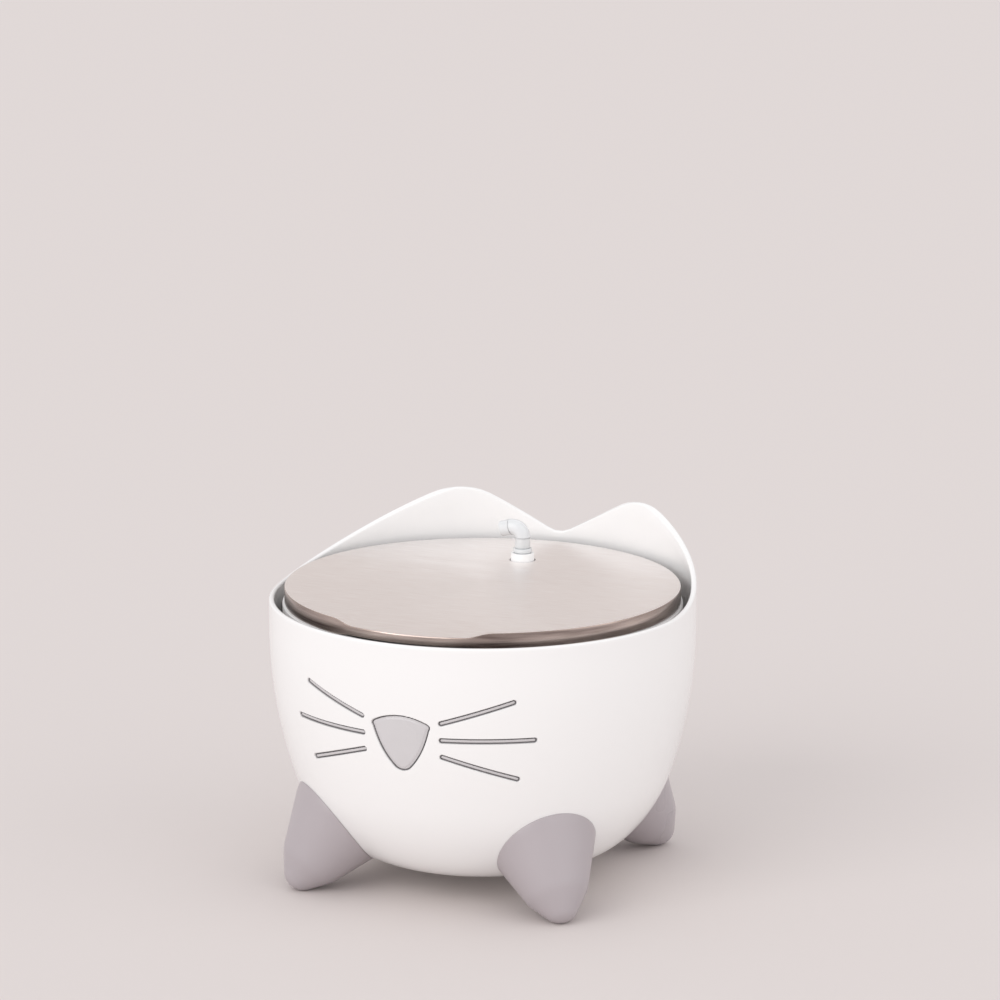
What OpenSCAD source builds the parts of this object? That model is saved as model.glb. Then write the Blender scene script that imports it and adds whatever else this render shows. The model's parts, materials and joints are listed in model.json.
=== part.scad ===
// Pet water fountain: open bowl with cat ears, filter tray, steel plate, pump and supply lead.
// Origin on the floor under the middle of the bowl, front towards -Y, millimetres.

/* [Bowl] */
// Outer radius of the bowl's upright wall
bowl_r = 103.5; // [100:0.5:110]
// Wall thickness of the bowl
bowl_wall = 2.6; // [2:0.1:3.2]
// Height of the front rim above the floor
rim_z = 137.3; // [134:0.5:145]
// Height of the bowl's underside above the floor
base_z = 11; // [8:0.5:14]
// Radius of the long side curve
side_r = 233; // [220:1:245]
// Radius of the lower flank curve
flank_r = 75; // [70:1:80]
// Radius of the curve into the flat underside
heel_r = 42; // [38:1:44]
// How far above the tray's seat the rim band begins
band_rise = 4; // [3:0.5:6]

/* [Ears] */
// Radius of the rim's upward sweep, seen from the side
sweep_r = 199; // [190:1:215]
// How far in front of the middle the sweep starts
sweep_start = 20; // [15:1:25]
// Height of the ear tips above the front rim
ear_rise = 31.1; // [28:0.5:33]
// Sideways place of the ear tips
ear_x = 50; // [46:0.5:52]
// Rounding radius of the ear tips
ear_round = 31; // [26:1:34]
// Height of the dip between the ears above the front rim
valley_rise = 9.7; // [8:0.5:13]
// Rounding radius of that dip
valley_round = 12; // [9:1:15]

/* [Feet] */
// Radius of the rounded toe
toe_r = 9.17; // [8:0.25:11]
// How far the toe's centre lies inside the bowl's outer radius
toe_in = 9.56; // [8:0.02:12]
// Height of the toe's centre above the floor
toe_z = 8.72; // [7.5:0.1:8.9]
// Radius of the foot where it meets the bowl
ankle_r = 27.3; // [25:0.5:29]
// Length from the toe's centre to the ankle's centre
foot_l = 39.35; // [37:0.5:41]
// Inward lean of the feet from upright
foot_lean = 39.5; // [36:0.5:42]

/* [Face] */
// Half width of the nose
nose_w = 14.5; // [12:0.5:16]
// Height of the nose's tip above the floor
nose_z = 75.5; // [72:0.5:80]
// Height of the nose from tip to top
nose_h = 27.8; // [24:0.5:30]
// Width of a whisker
whisker_w = 2.6; // [2:0.1:3.4]

/* [Cord bay] */
// Half width of the bay's walls
bay_x = 34; // [33:0.5:37]
// Depth of the bay from its front face to the bowl's wall
bay_depth = 27.9; // [26:0.1:28.4]
// Wall thickness of the bay
bay_wall = 2.2; // [1.8:0.1:2.6]
// Height of the opening's lower edge
bay_low = 36; // [34:1:40]
// Height of the opening's upper edge
bay_high = 118; // [114:1:120]
// Thickness of the rear cover
cover_t = 2.2; // [1.8:0.1:2.6]

/* [Tray] */
// Drop from the front rim to the ribs that carry the tray
seat_drop = 11.3; // [8:0.5:15]
// Free gap between the tray and the bowl wall
tray_gap = 3.9; // [2:0.1:6]
// Height of the tray's skirt
skirt_h = 9; // [8:0.5:11]
// Thickness of the tray's walls
tray_t = 2; // [1.6:0.1:2.4]
// Radius of the round recess
recess_r = 74; // [70:0.5:76]
// Depth of the recess
recess_h = 5; // [4:0.5:6]
// Depth of the four-lobed well below the recess
well_h = 16.7; // [15:0.5:18]
// Radius of one lobe of the well
lobe_r = 19.5; // [19:0.1:20.5]
// Sideways place of a lobe's centre
lobe_x = 18.5; // [18:0.1:19]
// Wall of the well beside its lobes
well_wall = 1.6; // [1.2:0.1:2]
// How far the well's centre lies inside the tray's edge
well_in = 54; // [52:0.5:55]
// Diameter of the openings under the lobes
drain_d = 26; // [20:1:30]
// Diameter of the refill holes
refill_d = 21; // [18:0.5:23]

/* [Riser] */
// Distance of the riser's axis in front of the bay
riser_gap = 21; // [20:0.5:23]
// Diameter of the dome over the riser
dome_d = 34; // [31:0.5:36]
// Outer diameter of the dome's collar
collar_d = 11.6; // [11.2:0.1:12.4]
// Bore of the collar
collar_bore = 8.5; // [8.2:0.1:9]
// Height of the collar's top above the tray
collar_h = 12; // [11:0.5:14]
// Outer diameter of the riser tube
tube_d = 14.5; // [13.5:0.1:16]
// Length of the riser tube
tube_l = 39; // [37:0.5:39.5]

/* [Pull ring] */
// Outer diameter of the ring
ring_d = 22.5; // [20:0.5:24]
// Radial thickness of the ring
ring_t = 3; // [2.4:0.1:3.6]
// Width of the ring's band
ring_w = 3.6; // [3:0.1:4.2]
// Diameter of the ring's pin
ring_pin_d = 1.6; // [1.2:0.1:2]

/* [Filter] */
// How far the filter's flange laps over the well's edge
flange_lap = 1.2; // [0.6:0.1:1.5]
// Thickness of the filter's flange
flange_t = 0.8; // [0.6:0.1:1.2]
// Depth of the filter's pockets
pocket_h = 13; // [11:0.5:15]
// Gap between a pocket and its lobe of the well
pocket_gap = 2.5; // [2.2:0.1:4]
// Wall thickness of a pocket
pocket_wall = 0.6; // [0.4:0.1:0.9]
// Diameter of the filter's middle hole
filter_hole_d = 14; // [11:0.5:14.5]

/* [Steel plate] */
// How far the plate's rim stands in from the tray's edge
plate_in = 1; // [0.5:0.1:3]
// Height of the plate's turned-down rim
plate_h = 8; // [7.9:0.1:9]
// Thickness of the steel sheet
plate_t = 0.8; // [0.6:0.1:1]
// Diameter of the hole round the collar
plate_hole_d = 13; // [12.6:0.1:14]

/* [Spout] */
// Outer diameter of the spout's elbow
spout_d = 7.8; // [7.4:0.1:8.2]
// Bore of the spout's elbow
spout_bore = 5.2; // [4.8:0.1:5.6]
// Radius of the elbow's bend
bend_r = 5; // [4.6:0.1:6]
// Angle that the elbow turns through
bend_a = 105; // [90:1:115]
// Upright length of the spout above the plug
spout_h = 5; // [4:0.5:7]

/* [Pump] */
// Length of the pump from dial end to intake end
pump_l = 42; // [41:0.5:44]
// Width of the pump
pump_w = 29; // [28:0.5:29]
// Height of the pump's body
pump_h = 27.5; // [27:0.5:29]
// Distance from the dial end to the nozzle's axis
pump_front = 29.3; // [29:0.1:30]
// Length of the pull-off intake cover
intake_l = 7.6; // [7:0.2:8.2]
// Outer diameter of the nozzle
nozzle_d = 8.5; // [8:0.1:9]
// Length of the nozzle above the pump
nozzle_l = 16.7; // [14:0.1:17]
// Height of the pump dock above the floor
dock_z = 32; // [31:0.5:33]
// Wall thickness of the pump dock
dock_wall = 2; // [1.6:0.1:2.6]
// Height of a suction cup
cup_h = 4; // [3.6:0.1:5]
// Diameter of the impeller
impeller_d = 17; // [15:0.5:18]
// Diameter of the rotor magnet
magnet_d = 10.4; // [9.6:0.2:11]
// Diameter of the impeller's shaft
shaft_d = 2; // [1.6:0.1:2.4]
// Diameter of the flow dial
dial_d = 7.8; // [7:0.2:9]

/* [Supply lead] */
// Diameter of the supply lead
lead_d = 3.2; // [2.8:0.1:3.4]
// Inner radius of the lead's coil
coil_r = 12.6; // [11:0.1:15]
// Turns of the coil side by side
coil_across = 4; // [3:1:5]
// Layers of the coil
coil_layers = 3; // [2:1:4]
// Length of the plug's body
plug_l = 22; // [18:1:26]

/* [Hidden] */

$fn = 64;
eps = 0.01;
// Cuts reach this far past what they cut
over = 1;
// Taller than any piece
tall = 400;
// Gap between pieces that rest on each other and lift off
seat_gap = 0.3;
// Gap between fixed pieces of one body
fit_gap = 0.1;
// Radial clearance of a turning fit
run_gap = 0.05;

white = "whitesmoke";
cool_white = "#e4e1e2";
grey = "#beb2b6";
clear = "#dfe8ea";

// ---- Bowl outline: flat base, three arcs, upright wall ----
side_a = 17.85;
flank_a = 43;
heel_z = base_z + heel_r * (1 - sin(flank_a));
flank_z = heel_z + flank_r * (sin(flank_a) - sin(side_a));
side_z = flank_z + side_r * sin(side_a);
side_cx = bowl_r - side_r;
flank_cx = side_cx + (side_r - flank_r) * cos(side_a);
heel_cx = flank_cx + (flank_r - heel_r) * cos(flank_a);
flank_cz = flank_z + flank_r * sin(side_a);
heel_cz = heel_z + heel_r * sin(flank_a);
shell_top = rim_z + ear_rise + 5;
bowl_in_r = bowl_r - bowl_wall;
// Where the bay's front face and the riser's axis lie behind the middle
bay_y = bowl_in_r - bay_depth;
riser_y = bay_y - riser_gap;

function arc(cx, cz, r, a0, a1, n) =
  [for (i = [0:n]) let (a = a0 + (a1 - a0) * i / n) [cx + r * cos(a), cz + r * sin(a)]];

// Outline of the bowl's outer surface, moved inwards by w
function bowl_outline(w, top) = concat(
  [[0, top], [bowl_r - w, top]],
  arc(side_cx, side_z, side_r - w, 0, -side_a, 6),
  arc(flank_cx, flank_cz, flank_r - w, -side_a, -flank_a, 6),
  arc(heel_cx, heel_cz, heel_r - w, -flank_a, -90, 8),
  [[0, base_z + w]]
);

// Outer radius of the bowl at height z, above the heel
function bowl_r_at(z) =
  z > side_z ? bowl_r :
  z > flank_z ? side_cx + sqrt(side_r * side_r - pow(side_z - z, 2)) :
  flank_cx + sqrt(flank_r * flank_r - pow(flank_cz - z, 2));

module bowl_solid(w = 0, top = shell_top) {
  rotate_extrude($fn = 180) polygon(bowl_outline(w, top));
}

// ---- Stack heights ----
seat_z = rim_z - seat_drop;
tray_z = seat_z + skirt_h;
tray_r = bowl_in_r - tray_gap;
plate_r = tray_r - plate_in;
ledge_z = tray_z - recess_h;
well_z = ledge_z - well_h;
plate_z = tray_z + seat_gap;
plate_top = plate_z + plate_h;
collar_z = tray_z + collar_h;
pump_z = dock_z + cup_h;
pump_top = pump_z + pump_h;
tube_z = pump_top + seat_gap;
tube_top = tube_z + tube_l;

// ---- Ear outline ----
ear_z = rim_z + ear_rise;
valley_z = rim_z + valley_rise;
// Slope of the straight line that touches both the dip's and the ear tip's rounding
tip_dz = (ear_z - ear_round) - (valley_z + valley_round);
ear_slope = asin((ear_round + valley_round) / norm([ear_x, tip_dz])) + atan2(tip_dz, ear_x);
ear_reach = 10;

function ear_half(s) = concat(
  [for (a = [0:6:ear_slope]) [s * valley_round * sin(a), valley_z + valley_round * (1 - cos(a))]],
  [for (a = [-ear_slope:4:asin(ear_reach / ear_round)])
    [s * (ear_x + ear_round * sin(a)), ear_z - ear_round * (1 - cos(a))]],
  [[s * (ear_x + ear_reach), tall]]
);
function distinct(list) =
  [for (i = [0:len(list) - 1]) if (i == 0 || norm(list[i] - list[max(i - 1, 0)]) > eps) list[i]];
function reversed(list) = [for (i = [len(list) - 1:-1:0]) list[i]];

// Everything above the swept rim and above the dip between the ears
module above_rim() {
  translate([-tall / 2, -tall, rim_z]) cube([tall, tall - sweep_start, tall]);
  translate([-tall / 2, -sweep_start, rim_z + sweep_r]) rotate([0, 90, 0])
    cylinder(r = sweep_r, h = tall, $fn = 360);
  rotate([90, 0, 180]) linear_extrude(tall) polygon(distinct(concat(reversed(ear_half(-1)), ear_half(1))));
}

// ---- Face ----
face_inset = 1.1;
// How far the face's outlines reach to either side of the bowl's outer radius
face_reach = 20;
whisker_rows = [
  // near end: angle, height; far end: angle, height
  [10.6, 100.3, 31, 111.7],
  [10.6, 92.3, 36.8, 92.3],
  [10.7, 84.3, 32.5, 72.5]
];

function bezier(a, b, c, n) =
  [for (i = [0:n]) let (t = i / n) (1 - t) * (1 - t) * a + 2 * t * (1 - t) * b + t * t * c];
// Half of the nose's outline: brow, rounded upper corner, cheek and rounded tip
nose_brow = [nose_w * 0.86, nose_h - 2.8];
nose_corner = [nose_w, nose_h - 6.8];
nose_tip = [4.1, 1.5];
nose_half = distinct(concat(
  bezier([0, nose_h], [nose_w * 0.45, nose_h], nose_brow, 4),
  bezier(nose_brow, [nose_w * 1.12, nose_h - 4.3], nose_corner, 4),
  bezier(nose_corner, [nose_w * 0.78, 8.5], nose_tip, 5),
  bezier(nose_tip, [2.4, 0], [0, 0], 3)
));
function flipped(list) = [for (p = list) [-p[0], p[1]]];

// Flat outline pushed through the front wall at an angle from the front
module through_face(angle, z, grow = 0) {
  rotate([0, 0, angle]) translate([0, 0, z]) rotate([90, 0, 0])
    translate([0, 0, bowl_r - face_reach]) linear_extrude(2 * face_reach) children();
}

module stadium(l, w) {
  square([l, w], center = true);
  for (s = [-1, 1]) translate([s * l / 2, 0]) circle(d = w, $fn = 24);
}

// Nose and whisker shapes, grown by g all round, reaching through the wall
module face_shapes(g = 0) {
  through_face(0, nose_z) scale((nose_w + g) / nose_w)
    translate([0, -g]) polygon(distinct(concat(flipped(nose_half), reversed(nose_half))));
  for (s = [-1, 1], row = whisker_rows) {
    angle = (row[0] + row[2]) / 2;
    z = (row[1] + row[3]) / 2;
    across = 2 * bowl_r * sin((row[2] - row[0]) / 2);
    rise = row[3] - row[1];
    through_face(s * angle, z) rotate(s * atan2(rise, across))
      stadium(norm([across, rise]) - whisker_w, whisker_w + 2 * g);
  }
}

// The clear face piece is a thin shell against the inside of the wall, with the shapes standing out of it
face_back_a = 40;
face_back_drop = 6;
face_back_low = nose_z - face_back_drop;
face_back_high = 117;
face_back_t = 1.2;

module face_window() {
  color(clear, 0.6) {
    intersection() {
      difference() {
        bowl_solid(face_inset);
        bowl_solid(bowl_wall + fit_gap + face_back_t / 2);
      }
      face_shapes(0);
    }
    intersection() {
      difference() {
        bowl_solid(bowl_wall + fit_gap);
        bowl_solid(bowl_wall + fit_gap + face_back_t);
      }
      front_wedge(face_back_a, face_back_low, face_back_high);
    }
  }
}

// Wedge that takes in the front of the bowl within +-a of the front, from z0 to z1
module front_wedge(a, z0, z1) {
  far = bowl_r * 1.2;
  translate([0, 0, z0]) linear_extrude(z1 - z0)
    polygon([[0, 0], [-far * tan(a), -far], [far * tan(a), -far]]);
}

// ---- Feet ----
toe_out = bowl_r - toe_in;
// Tangent angles where the toe, flank and ankle curves of a foot meet
foot_mid_r = 17;
foot_mid_l = 12.71;
foot_a1 = asin((foot_mid_r - toe_r) / foot_mid_l);
foot_a2 = asin((ankle_r - foot_mid_r) / (foot_l - foot_mid_l));

// Half outline of a foot about its own axis, from the toe up
module foot_outline() {
  polygon(concat(
    arc(0, 0, toe_r, -90, -foot_a1, 6),
    arc(0, foot_mid_l, foot_mid_r, -foot_a1, -foot_a2, 3),
    arc(0, foot_l, ankle_r, -foot_a2, 90, 8)
  ));
}

module foot(angle) {
  color(grey) difference() {
    rotate([0, 0, angle]) translate([0, -toe_out, toe_z]) rotate([-foot_lean, 0, 0])
      rotate_extrude($fn = 96) foot_outline();
    translate([0, 0, -tall]) cylinder(r = tall, h = tall);
    bowl_solid(-fit_gap);
  }
}

module foot_front_left() { foot(-45); }
module foot_front_right() { foot(45); }
module foot_back_left() { foot(-135); }
module foot_back_right() { foot(135); }

// ---- Bowl ----
rib_angles = [59.3, 120.7, 239.3, 300.7];
rib_in = 10.5;
rib_t = 2.4;
rib_low = 62;
bay_cut_x = bay_x - 3.5;
bay_open_x = bay_x - 2;
cover_x = bay_open_x - seat_gap;
screw_x = 24;
screw_drop = 12;
screw_z = bay_high - screw_drop;
boss_d = 7;
screw_d = 3;
screw_head_d = 6;
screw_head_h = 1.6;
screw_l = 11;
screw_play = 0.4;
screw_sink = 1.1;
cross_l = 3.6;
cross_w = 0.8;
post_base = 8;
screw_seat_y = sqrt(pow(bowl_r_at(screw_z), 2) - screw_x * screw_x) - screw_sink;
grommet_x = -18;
grommet_z = 112;
grommet_d = 6;
outlet_z = 44;
outlet_d = 6.4;
dock_l = 38;
dock_w = 25;
dock_r = 5;
band_z = seat_z + band_rise;

// Rounded rectangle made of exact squares and circles
module round_rect(w, h, r) {
  square([w - 2 * r, h], center = true);
  square([w, h - 2 * r], center = true);
  for (x = [-1, 1], y = [-1, 1]) translate([x * (w / 2 - r), y * (h / 2 - r)]) circle(r, $fn = 32);
}

// Children are placed in the pump's own frame: x along the pump, nozzle axis through x = y = 0
module pump_frame(z = pump_z) {
  translate([0, riser_y, z]) rotate([0, 0, 45]) children();
}
pump_back = pump_l - pump_front;
pump_mid = pump_back - pump_l / 2;

module bay_box(x, y0, z0, z1) {
  translate([-x, y0, z0]) cube([2 * x, bowl_r, z1 - z0]);
}

// The opening of the bay, the room behind it, and the grommet's hole
module bay_cuts() {
  intersection() {
    bay_box(bay_cut_x, bay_y + bay_wall, bay_low, seat_z - bay_wall);
    bowl_solid(bowl_wall);
  }
  bay_box(bay_cut_x, bay_y + bay_wall, bay_low + 2, bay_high - 2);
  difference() {
    bay_box(bay_open_x, bay_y, bay_low, bay_high);
    bowl_solid(cover_t + fit_gap);
  }
  translate([grommet_x, bay_y - over, grommet_z]) rotate([-90, 0, 0])
    cylinder(d = grommet_d + 2 * fit_gap, h = bay_wall + 2 * over);
}

module bowl() {
  color(white) difference() {
    bowl_solid();
    bowl_solid(bowl_wall);
    translate([-tall / 2, -tall / 2, band_z]) cube(tall);
    bay_cuts();
    face_shapes(fit_gap);
  }
}

module cord_duct() {
  color(white) difference() {
    intersection() {
      bay_box(bay_x, bay_y, base_z, seat_z);
      bowl_solid(bowl_wall + fit_gap);
    }
    bay_cuts();
  }
  color(white) screw_posts();
}

module tray_ribs() {
  color(white) intersection() {
    bowl_solid(bowl_wall + fit_gap);
    for (a = rib_angles) rotate([0, 0, a])
      translate([-rib_t / 2, bowl_r - rib_in, rib_low]) cube([rib_t, rib_in, seat_z - rib_low]);
  }
}

// Upper band of the bowl's wall with one ear, s = -1 left or 1 right
module rim_half(s) {
  color(white) difference() {
    bowl_solid();
    bowl_solid(bowl_wall);
    translate([-tall / 2, -tall / 2, band_z + fit_gap - tall]) cube(tall);
    translate([s > 0 ? fit_gap / 2 - tall : -fit_gap / 2, -tall / 2, 0]) cube(tall);
    above_rim();
  }
}
module rim_left() { rim_half(-1); }
module rim_right() { rim_half(1); }

// Stand under the pump: a box open below, cut to the bowl's floor
module pump_dock() {
  color(white) difference() {
    intersection() {
      bowl_solid(bowl_wall + fit_gap);
      pump_frame(base_z) translate([pump_mid, 0]) linear_extrude(dock_z - base_z)
        round_rect(dock_l, dock_w, dock_r);
    }
    pump_frame(0) translate([pump_mid, 0]) linear_extrude(dock_z - dock_wall)
      round_rect(dock_l - 2 * dock_wall, dock_w - 2 * dock_wall, dock_r - dock_wall);
  }
}

module screw_posts() {
  for (s = [-1, 1]) difference() {
    intersection() {
      translate([s * screw_x, bay_y + bay_wall - eps, screw_z]) rotate([-90, 0, 0])
        cylinder(d = boss_d, h = bowl_r);
      bowl_solid(cover_t + 2 * fit_gap);
    }
    translate([s * screw_x, bay_y + bay_wall + post_base, screw_z]) rotate([-90, 0, 0])
      cylinder(d = screw_d + 2 * fit_gap, h = bowl_r);
  }
}

module rear_cover() {
  color(white) difference() {
    intersection() {
      difference() {
        bowl_solid();
        bowl_solid(cover_t);
      }
      bay_box(cover_x, bay_y, bay_low + seat_gap, bay_high - seat_gap);
    }
    for (s = [-1, 1]) translate([s * screw_x, 0, screw_z]) rotate([-90, 0, 0]) {
      cylinder(d = screw_d + screw_play, h = bowl_r + over);
      translate([0, 0, screw_seat_y]) cylinder(d = screw_head_d + screw_play, h = bowl_r);
    }
    translate([0, 0, outlet_z]) rotate([-90, 0, 0]) cylinder(d = outlet_d + 2 * fit_gap, h = bowl_r);
  }
}

module cover_screws() {
  color("silver") for (s = [-1, 1]) translate([s * screw_x, screw_seat_y + fit_gap, screw_z])
    rotate([-90, 0, 0]) difference() {
      union() {
        cylinder(d = screw_head_d, h = screw_head_h);
        translate([0, 0, -screw_l]) cylinder(d = screw_d, h = screw_l + eps);
      }
      for (a = [0, 90]) rotate([0, 0, a])
        translate([-cross_l / 2, -cross_w / 2, screw_head_h - cross_w]) cube([cross_l, cross_w, over]);
    }
}

module cord_grommet() {
  color(grey) translate([grommet_x, bay_y, grommet_z]) rotate([-90, 0, 0]) difference() {
    union() {
      translate([0, 0, -1.6 - fit_gap]) cylinder(d = grommet_d + 3, h = 1.6);
      translate([0, 0, -0.2]) cylinder(d = grommet_d, h = bay_wall + 1.2);
    }
    cylinder(d = lead_d + 2 * fit_gap, h = tall, center = true);
  }
}

outlet_y = bowl_r_at(outlet_z);
outlet_l = 11.7;
// The bush is straight while the wall slopes, so its collars stand this far off the wall
outlet_off = 2.4;

module outlet_bush() {
  color(grey) translate([0, outlet_y, outlet_z]) rotate([-90, 0, 0]) difference() {
    union() {
      translate([0, 0, -cover_t - outlet_off - 1.6]) cylinder(d = outlet_d + 2.6, h = 1.4);
      translate([0, 0, -cover_t - outlet_off - 0.5])
        cylinder(d = outlet_d, h = cover_t + 2 * outlet_off + 0.6);
      translate([0, 0, outlet_off]) cylinder(d1 = outlet_d + 2, d2 = 5, h = outlet_l);
    }
    cylinder(d = lead_d + 2 * fit_gap, h = tall, center = true);
  }
}

// ---- Tray ----
well_y = tray_r - well_in;
well_box_w = 2 * (lobe_x + lobe_r + well_wall);
well_box_r = 12;
// The recess ends this far inside the tray's edge, and this far in front of the dome
recess_lip = 3.5;
recess_gap = 0.5;
recess_edge = tray_r - recess_lip;
recess_cy = riser_y - dome_d / 2 - recess_gap - recess_r;
notch_x = 15.8;
notch_h = 3.8;
notch_l = 18;
notch_y = tray_r - notch_l;
pipe_d = 12;
pipe_bore = 5.5;
pipe_z = tube_top + seat_gap;
tube_bore = nozzle_d + seat_gap;
spigot_d = tube_bore - seat_gap;
spigot_l = 8;
crown_z = tray_z + plate_h + seat_gap - plate_t - 0.6;
shoulder_z = crown_z - 1.2;
shoulder_round = 1.5;

module recess_outline(shrink = 0) {
  intersection() {
    translate([0, recess_cy]) circle(recess_r - shrink, $fn = 120);
    circle(recess_edge - shrink, $fn = 120);
  }
}

module lobes(r, z0, z1) {
  translate([0, -well_y, z0]) linear_extrude(z1 - z0) {
    for (x = [-1, 1], y = [-1, 1]) translate([x * lobe_x, y * lobe_x]) circle(r);
    square(2 * lobe_x, center = true);
  }
}

// Water way up through the dome to the spout
module water_way() {
  translate([0, riser_y, 0]) cylinder(d = pipe_bore, h = tall);
  translate([0, riser_y, plug_z - 2]) cylinder(d = collar_bore, h = tall);
}

module tray() {
  color(white) difference() {
    // Skirt and top sheet
    translate([0, 0, seat_z]) cylinder(r = tray_r, h = skirt_h, $fn = 180);
    // Inside of the skirt, leaving the top sheet, the recess and the notch
    difference() {
      translate([0, 0, seat_z - over]) cylinder(r = tray_r - tray_t, h = skirt_h - tray_t + over, $fn = 180);
      translate([0, 0, ledge_z - tray_t]) linear_extrude(tall) recess_outline(-tray_t);
      translate([-notch_x - tray_t, notch_y - tray_t, tray_z - notch_h - tray_t])
        cube([2 * (notch_x + tray_t), tall, tall]);
    }
    translate([0, 0, ledge_z]) linear_extrude(tall) recess_outline();
    // The dome stands in a round hole
    translate([0, riser_y, 0]) cylinder(d = dome_d + 2 * fit_gap, h = tall);
    lobes(lobe_r, well_z, tall);
    for (s = [-1, 1]) translate([s * refill_x, refill_y, 0]) cylinder(d = refill_d, h = tall);
    translate([-notch_x, notch_y, tray_z - notch_h]) cube([2 * notch_x, tall, tall]);
  }
}

// Four-lobed well under the recess
module tray_well() {
  color(white) difference() {
    translate([0, -well_y, well_z - tray_t]) linear_extrude(ledge_z - fit_gap - well_z)
      round_rect(well_box_w, well_box_w, well_box_r);
    lobes(lobe_r, well_z, tall);
    for (x = [-1, 1], y = [-1, 1]) translate([x * lobe_x, -well_y + y * lobe_x, 0])
      cylinder(d = drain_d, h = tall);
  }
}

module riser_dome() {
  color(white) difference() {
    union() {
      translate([0, riser_y, 0]) rotate_extrude() polygon(dome_outline());
      // Down pipe and spigot
      translate([0, riser_y, pipe_z]) cylinder(d = pipe_d, h = tray_z - pipe_z);
      translate([0, riser_y, pipe_z - spigot_l]) cylinder(d = spigot_d, h = spigot_l + eps);
    }
    water_way();
  }
}

// Lugs that hold the ring's pin
module ring_lugs() {
  color(white) difference() {
    for (s = [-1, 1]) translate([ring_x + s * lug_x - lug_t / 2, ring_y, tray_z + fit_gap]) {
      translate([0, -lug_w / 2, 0]) cube([lug_t, lug_w, pin_rise - fit_gap]);
      translate([0, 0, pin_rise - fit_gap]) rotate([0, 90, 0]) cylinder(d = lug_w, h = lug_t);
    }
    translate([ring_x, ring_y, tray_z + pin_rise]) rotate([0, 90, 0])
      cylinder(d = ring_pin_d + 2 * fit_gap, h = tall, center = true);
  }
}
refill_x = 56.5;
refill_y = 35.5;

// Half outline of the dome: wall, rounded shoulder, gently rising crown and collar
function dome_outline() = concat(
  [[0, ledge_z - tray_t], [dome_d / 2, ledge_z - tray_t]],
  arc(dome_d / 2 - shoulder_round, shoulder_z - shoulder_round, shoulder_round, 0, 90, 4),
  [[collar_d / 2, crown_z], [collar_d / 2, collar_z], [0, collar_z]]
);

// ---- Pull ring ----
ring_x = dome_d / 2 + ring_d / 2 - 2.2;
ring_back = 6;
ring_y = riser_y + ring_back;
ring_cy = ring_d / 2 - 0.5;
pin_rise = ring_w / 2 + seat_gap;
lug_x = 5;
lug_t = 2;
lug_w = 3;
ring_gap = 0.4;
ring_slot = 2 * lug_x - lug_t - 2 * ring_gap;

module pull_ring() {
  color(white) translate([ring_x, ring_y, tray_z + pin_rise]) {
    difference() {
      union() {
        difference() {
          translate([0, ring_cy, -ring_w / 2]) cylinder(d = ring_d, h = ring_w);
          translate([0, ring_cy, -ring_w]) cylinder(d = ring_d - 2 * ring_t, h = 2 * ring_w);
          // The ring is narrow where it stands between the lugs
          for (s = [-1, 1]) translate([s * (ring_slot + ring_d) / 2, 0, 0])
            cube([ring_d, lug_w + 2 * ring_gap, 2 * ring_w], center = true);
        }
        rotate([0, 90, 0]) cylinder(d = ring_w, h = ring_slot, center = true);
      }
      rotate([0, 90, 0]) cylinder(d = ring_pin_d + 2 * run_gap, h = tall, center = true);
    }
  }
}

module ring_pin() {
  color("silver") translate([ring_x, ring_y, tray_z + pin_rise]) rotate([0, 90, 0])
    cylinder(d = ring_pin_d, h = 2 * lug_x + lug_t, center = true);
}

// ---- Filter ----
flange_z = ledge_z + seat_gap;
flange_r = 9;
filter_w = 2 * (lobe_x + lobe_r + flange_lap);
pocket_w = 2 * (lobe_r - pocket_gap);
pocket_r = 13;
fill_gap = 0.3;
fill_drop = 1.2;

module pocket(x, y, grow, z0, z1) {
  translate([x * lobe_x, -well_y + y * lobe_x, z0]) linear_extrude(z1 - z0)
    round_rect(pocket_w + 2 * grow, pocket_w + 2 * grow, pocket_r + grow);
}

module filter_shell() {
  color(clear, 0.5) difference() {
    union() {
      translate([0, -well_y, flange_z]) linear_extrude(flange_t) round_rect(filter_w, filter_w, flange_r);
      for (x = [-1, 1], y = [-1, 1]) pocket(x, y, 0, flange_z - pocket_h, flange_z + eps);
    }
    for (x = [-1, 1], y = [-1, 1])
      pocket(x, y, -pocket_wall, flange_z - pocket_h + pocket_wall, flange_z + flange_t + over);
    translate([0, -well_y, 0]) cylinder(d = filter_hole_d, h = tall);
  }
}

module filter_film() {
  color(clear, 0.5) translate([0, -well_y, flange_z + flange_t + 0.05]) difference() {
    linear_extrude(0.3) round_rect(filter_w, filter_w, flange_r);
    translate([0, 0, -over]) cylinder(d = filter_hole_d, h = tall);
  }
}

module fill(x) {
  for (y = [-1, 1]) pocket(x, y, -pocket_wall - fill_gap,
    flange_z - pocket_h + pocket_wall + fill_gap, flange_z - fill_drop);
}
module carbon_fill() { color("#8f8f8c") fill(-1); }
module resin_fill() { color("#e3c9a8") fill(1); }

// ---- Steel plate ----
plate_round = 1.2;
lip_a = 22;
lip_h = 1;

module steel_plate() {
  color("#d9c9c0") translate([0, 0, plate_top - plate_t]) difference() {
    cylinder(r = plate_r - plate_round - fit_gap, h = plate_t, $fn = 180);
    translate([0, riser_y, -over]) cylinder(d = plate_hole_d, h = tall);
  }
}

// Rounded edge and turned-down rim, with the lifted lower edge of the spill lip
module plate_rim() {
  color("#d9c9c0") difference() {
    rotate_extrude($fn = 180) polygon(concat(
      [[plate_r - plate_round, plate_top - plate_t], [plate_r - plate_t, plate_top - plate_t],
       [plate_r - plate_t, plate_z], [plate_r, plate_z]],
      arc(plate_r - plate_round, plate_top - plate_round, plate_round, 0, 90, 4)
    ));
    front_wedge(lip_a, plate_z - over, plate_z + lip_h);
  }
}

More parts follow.
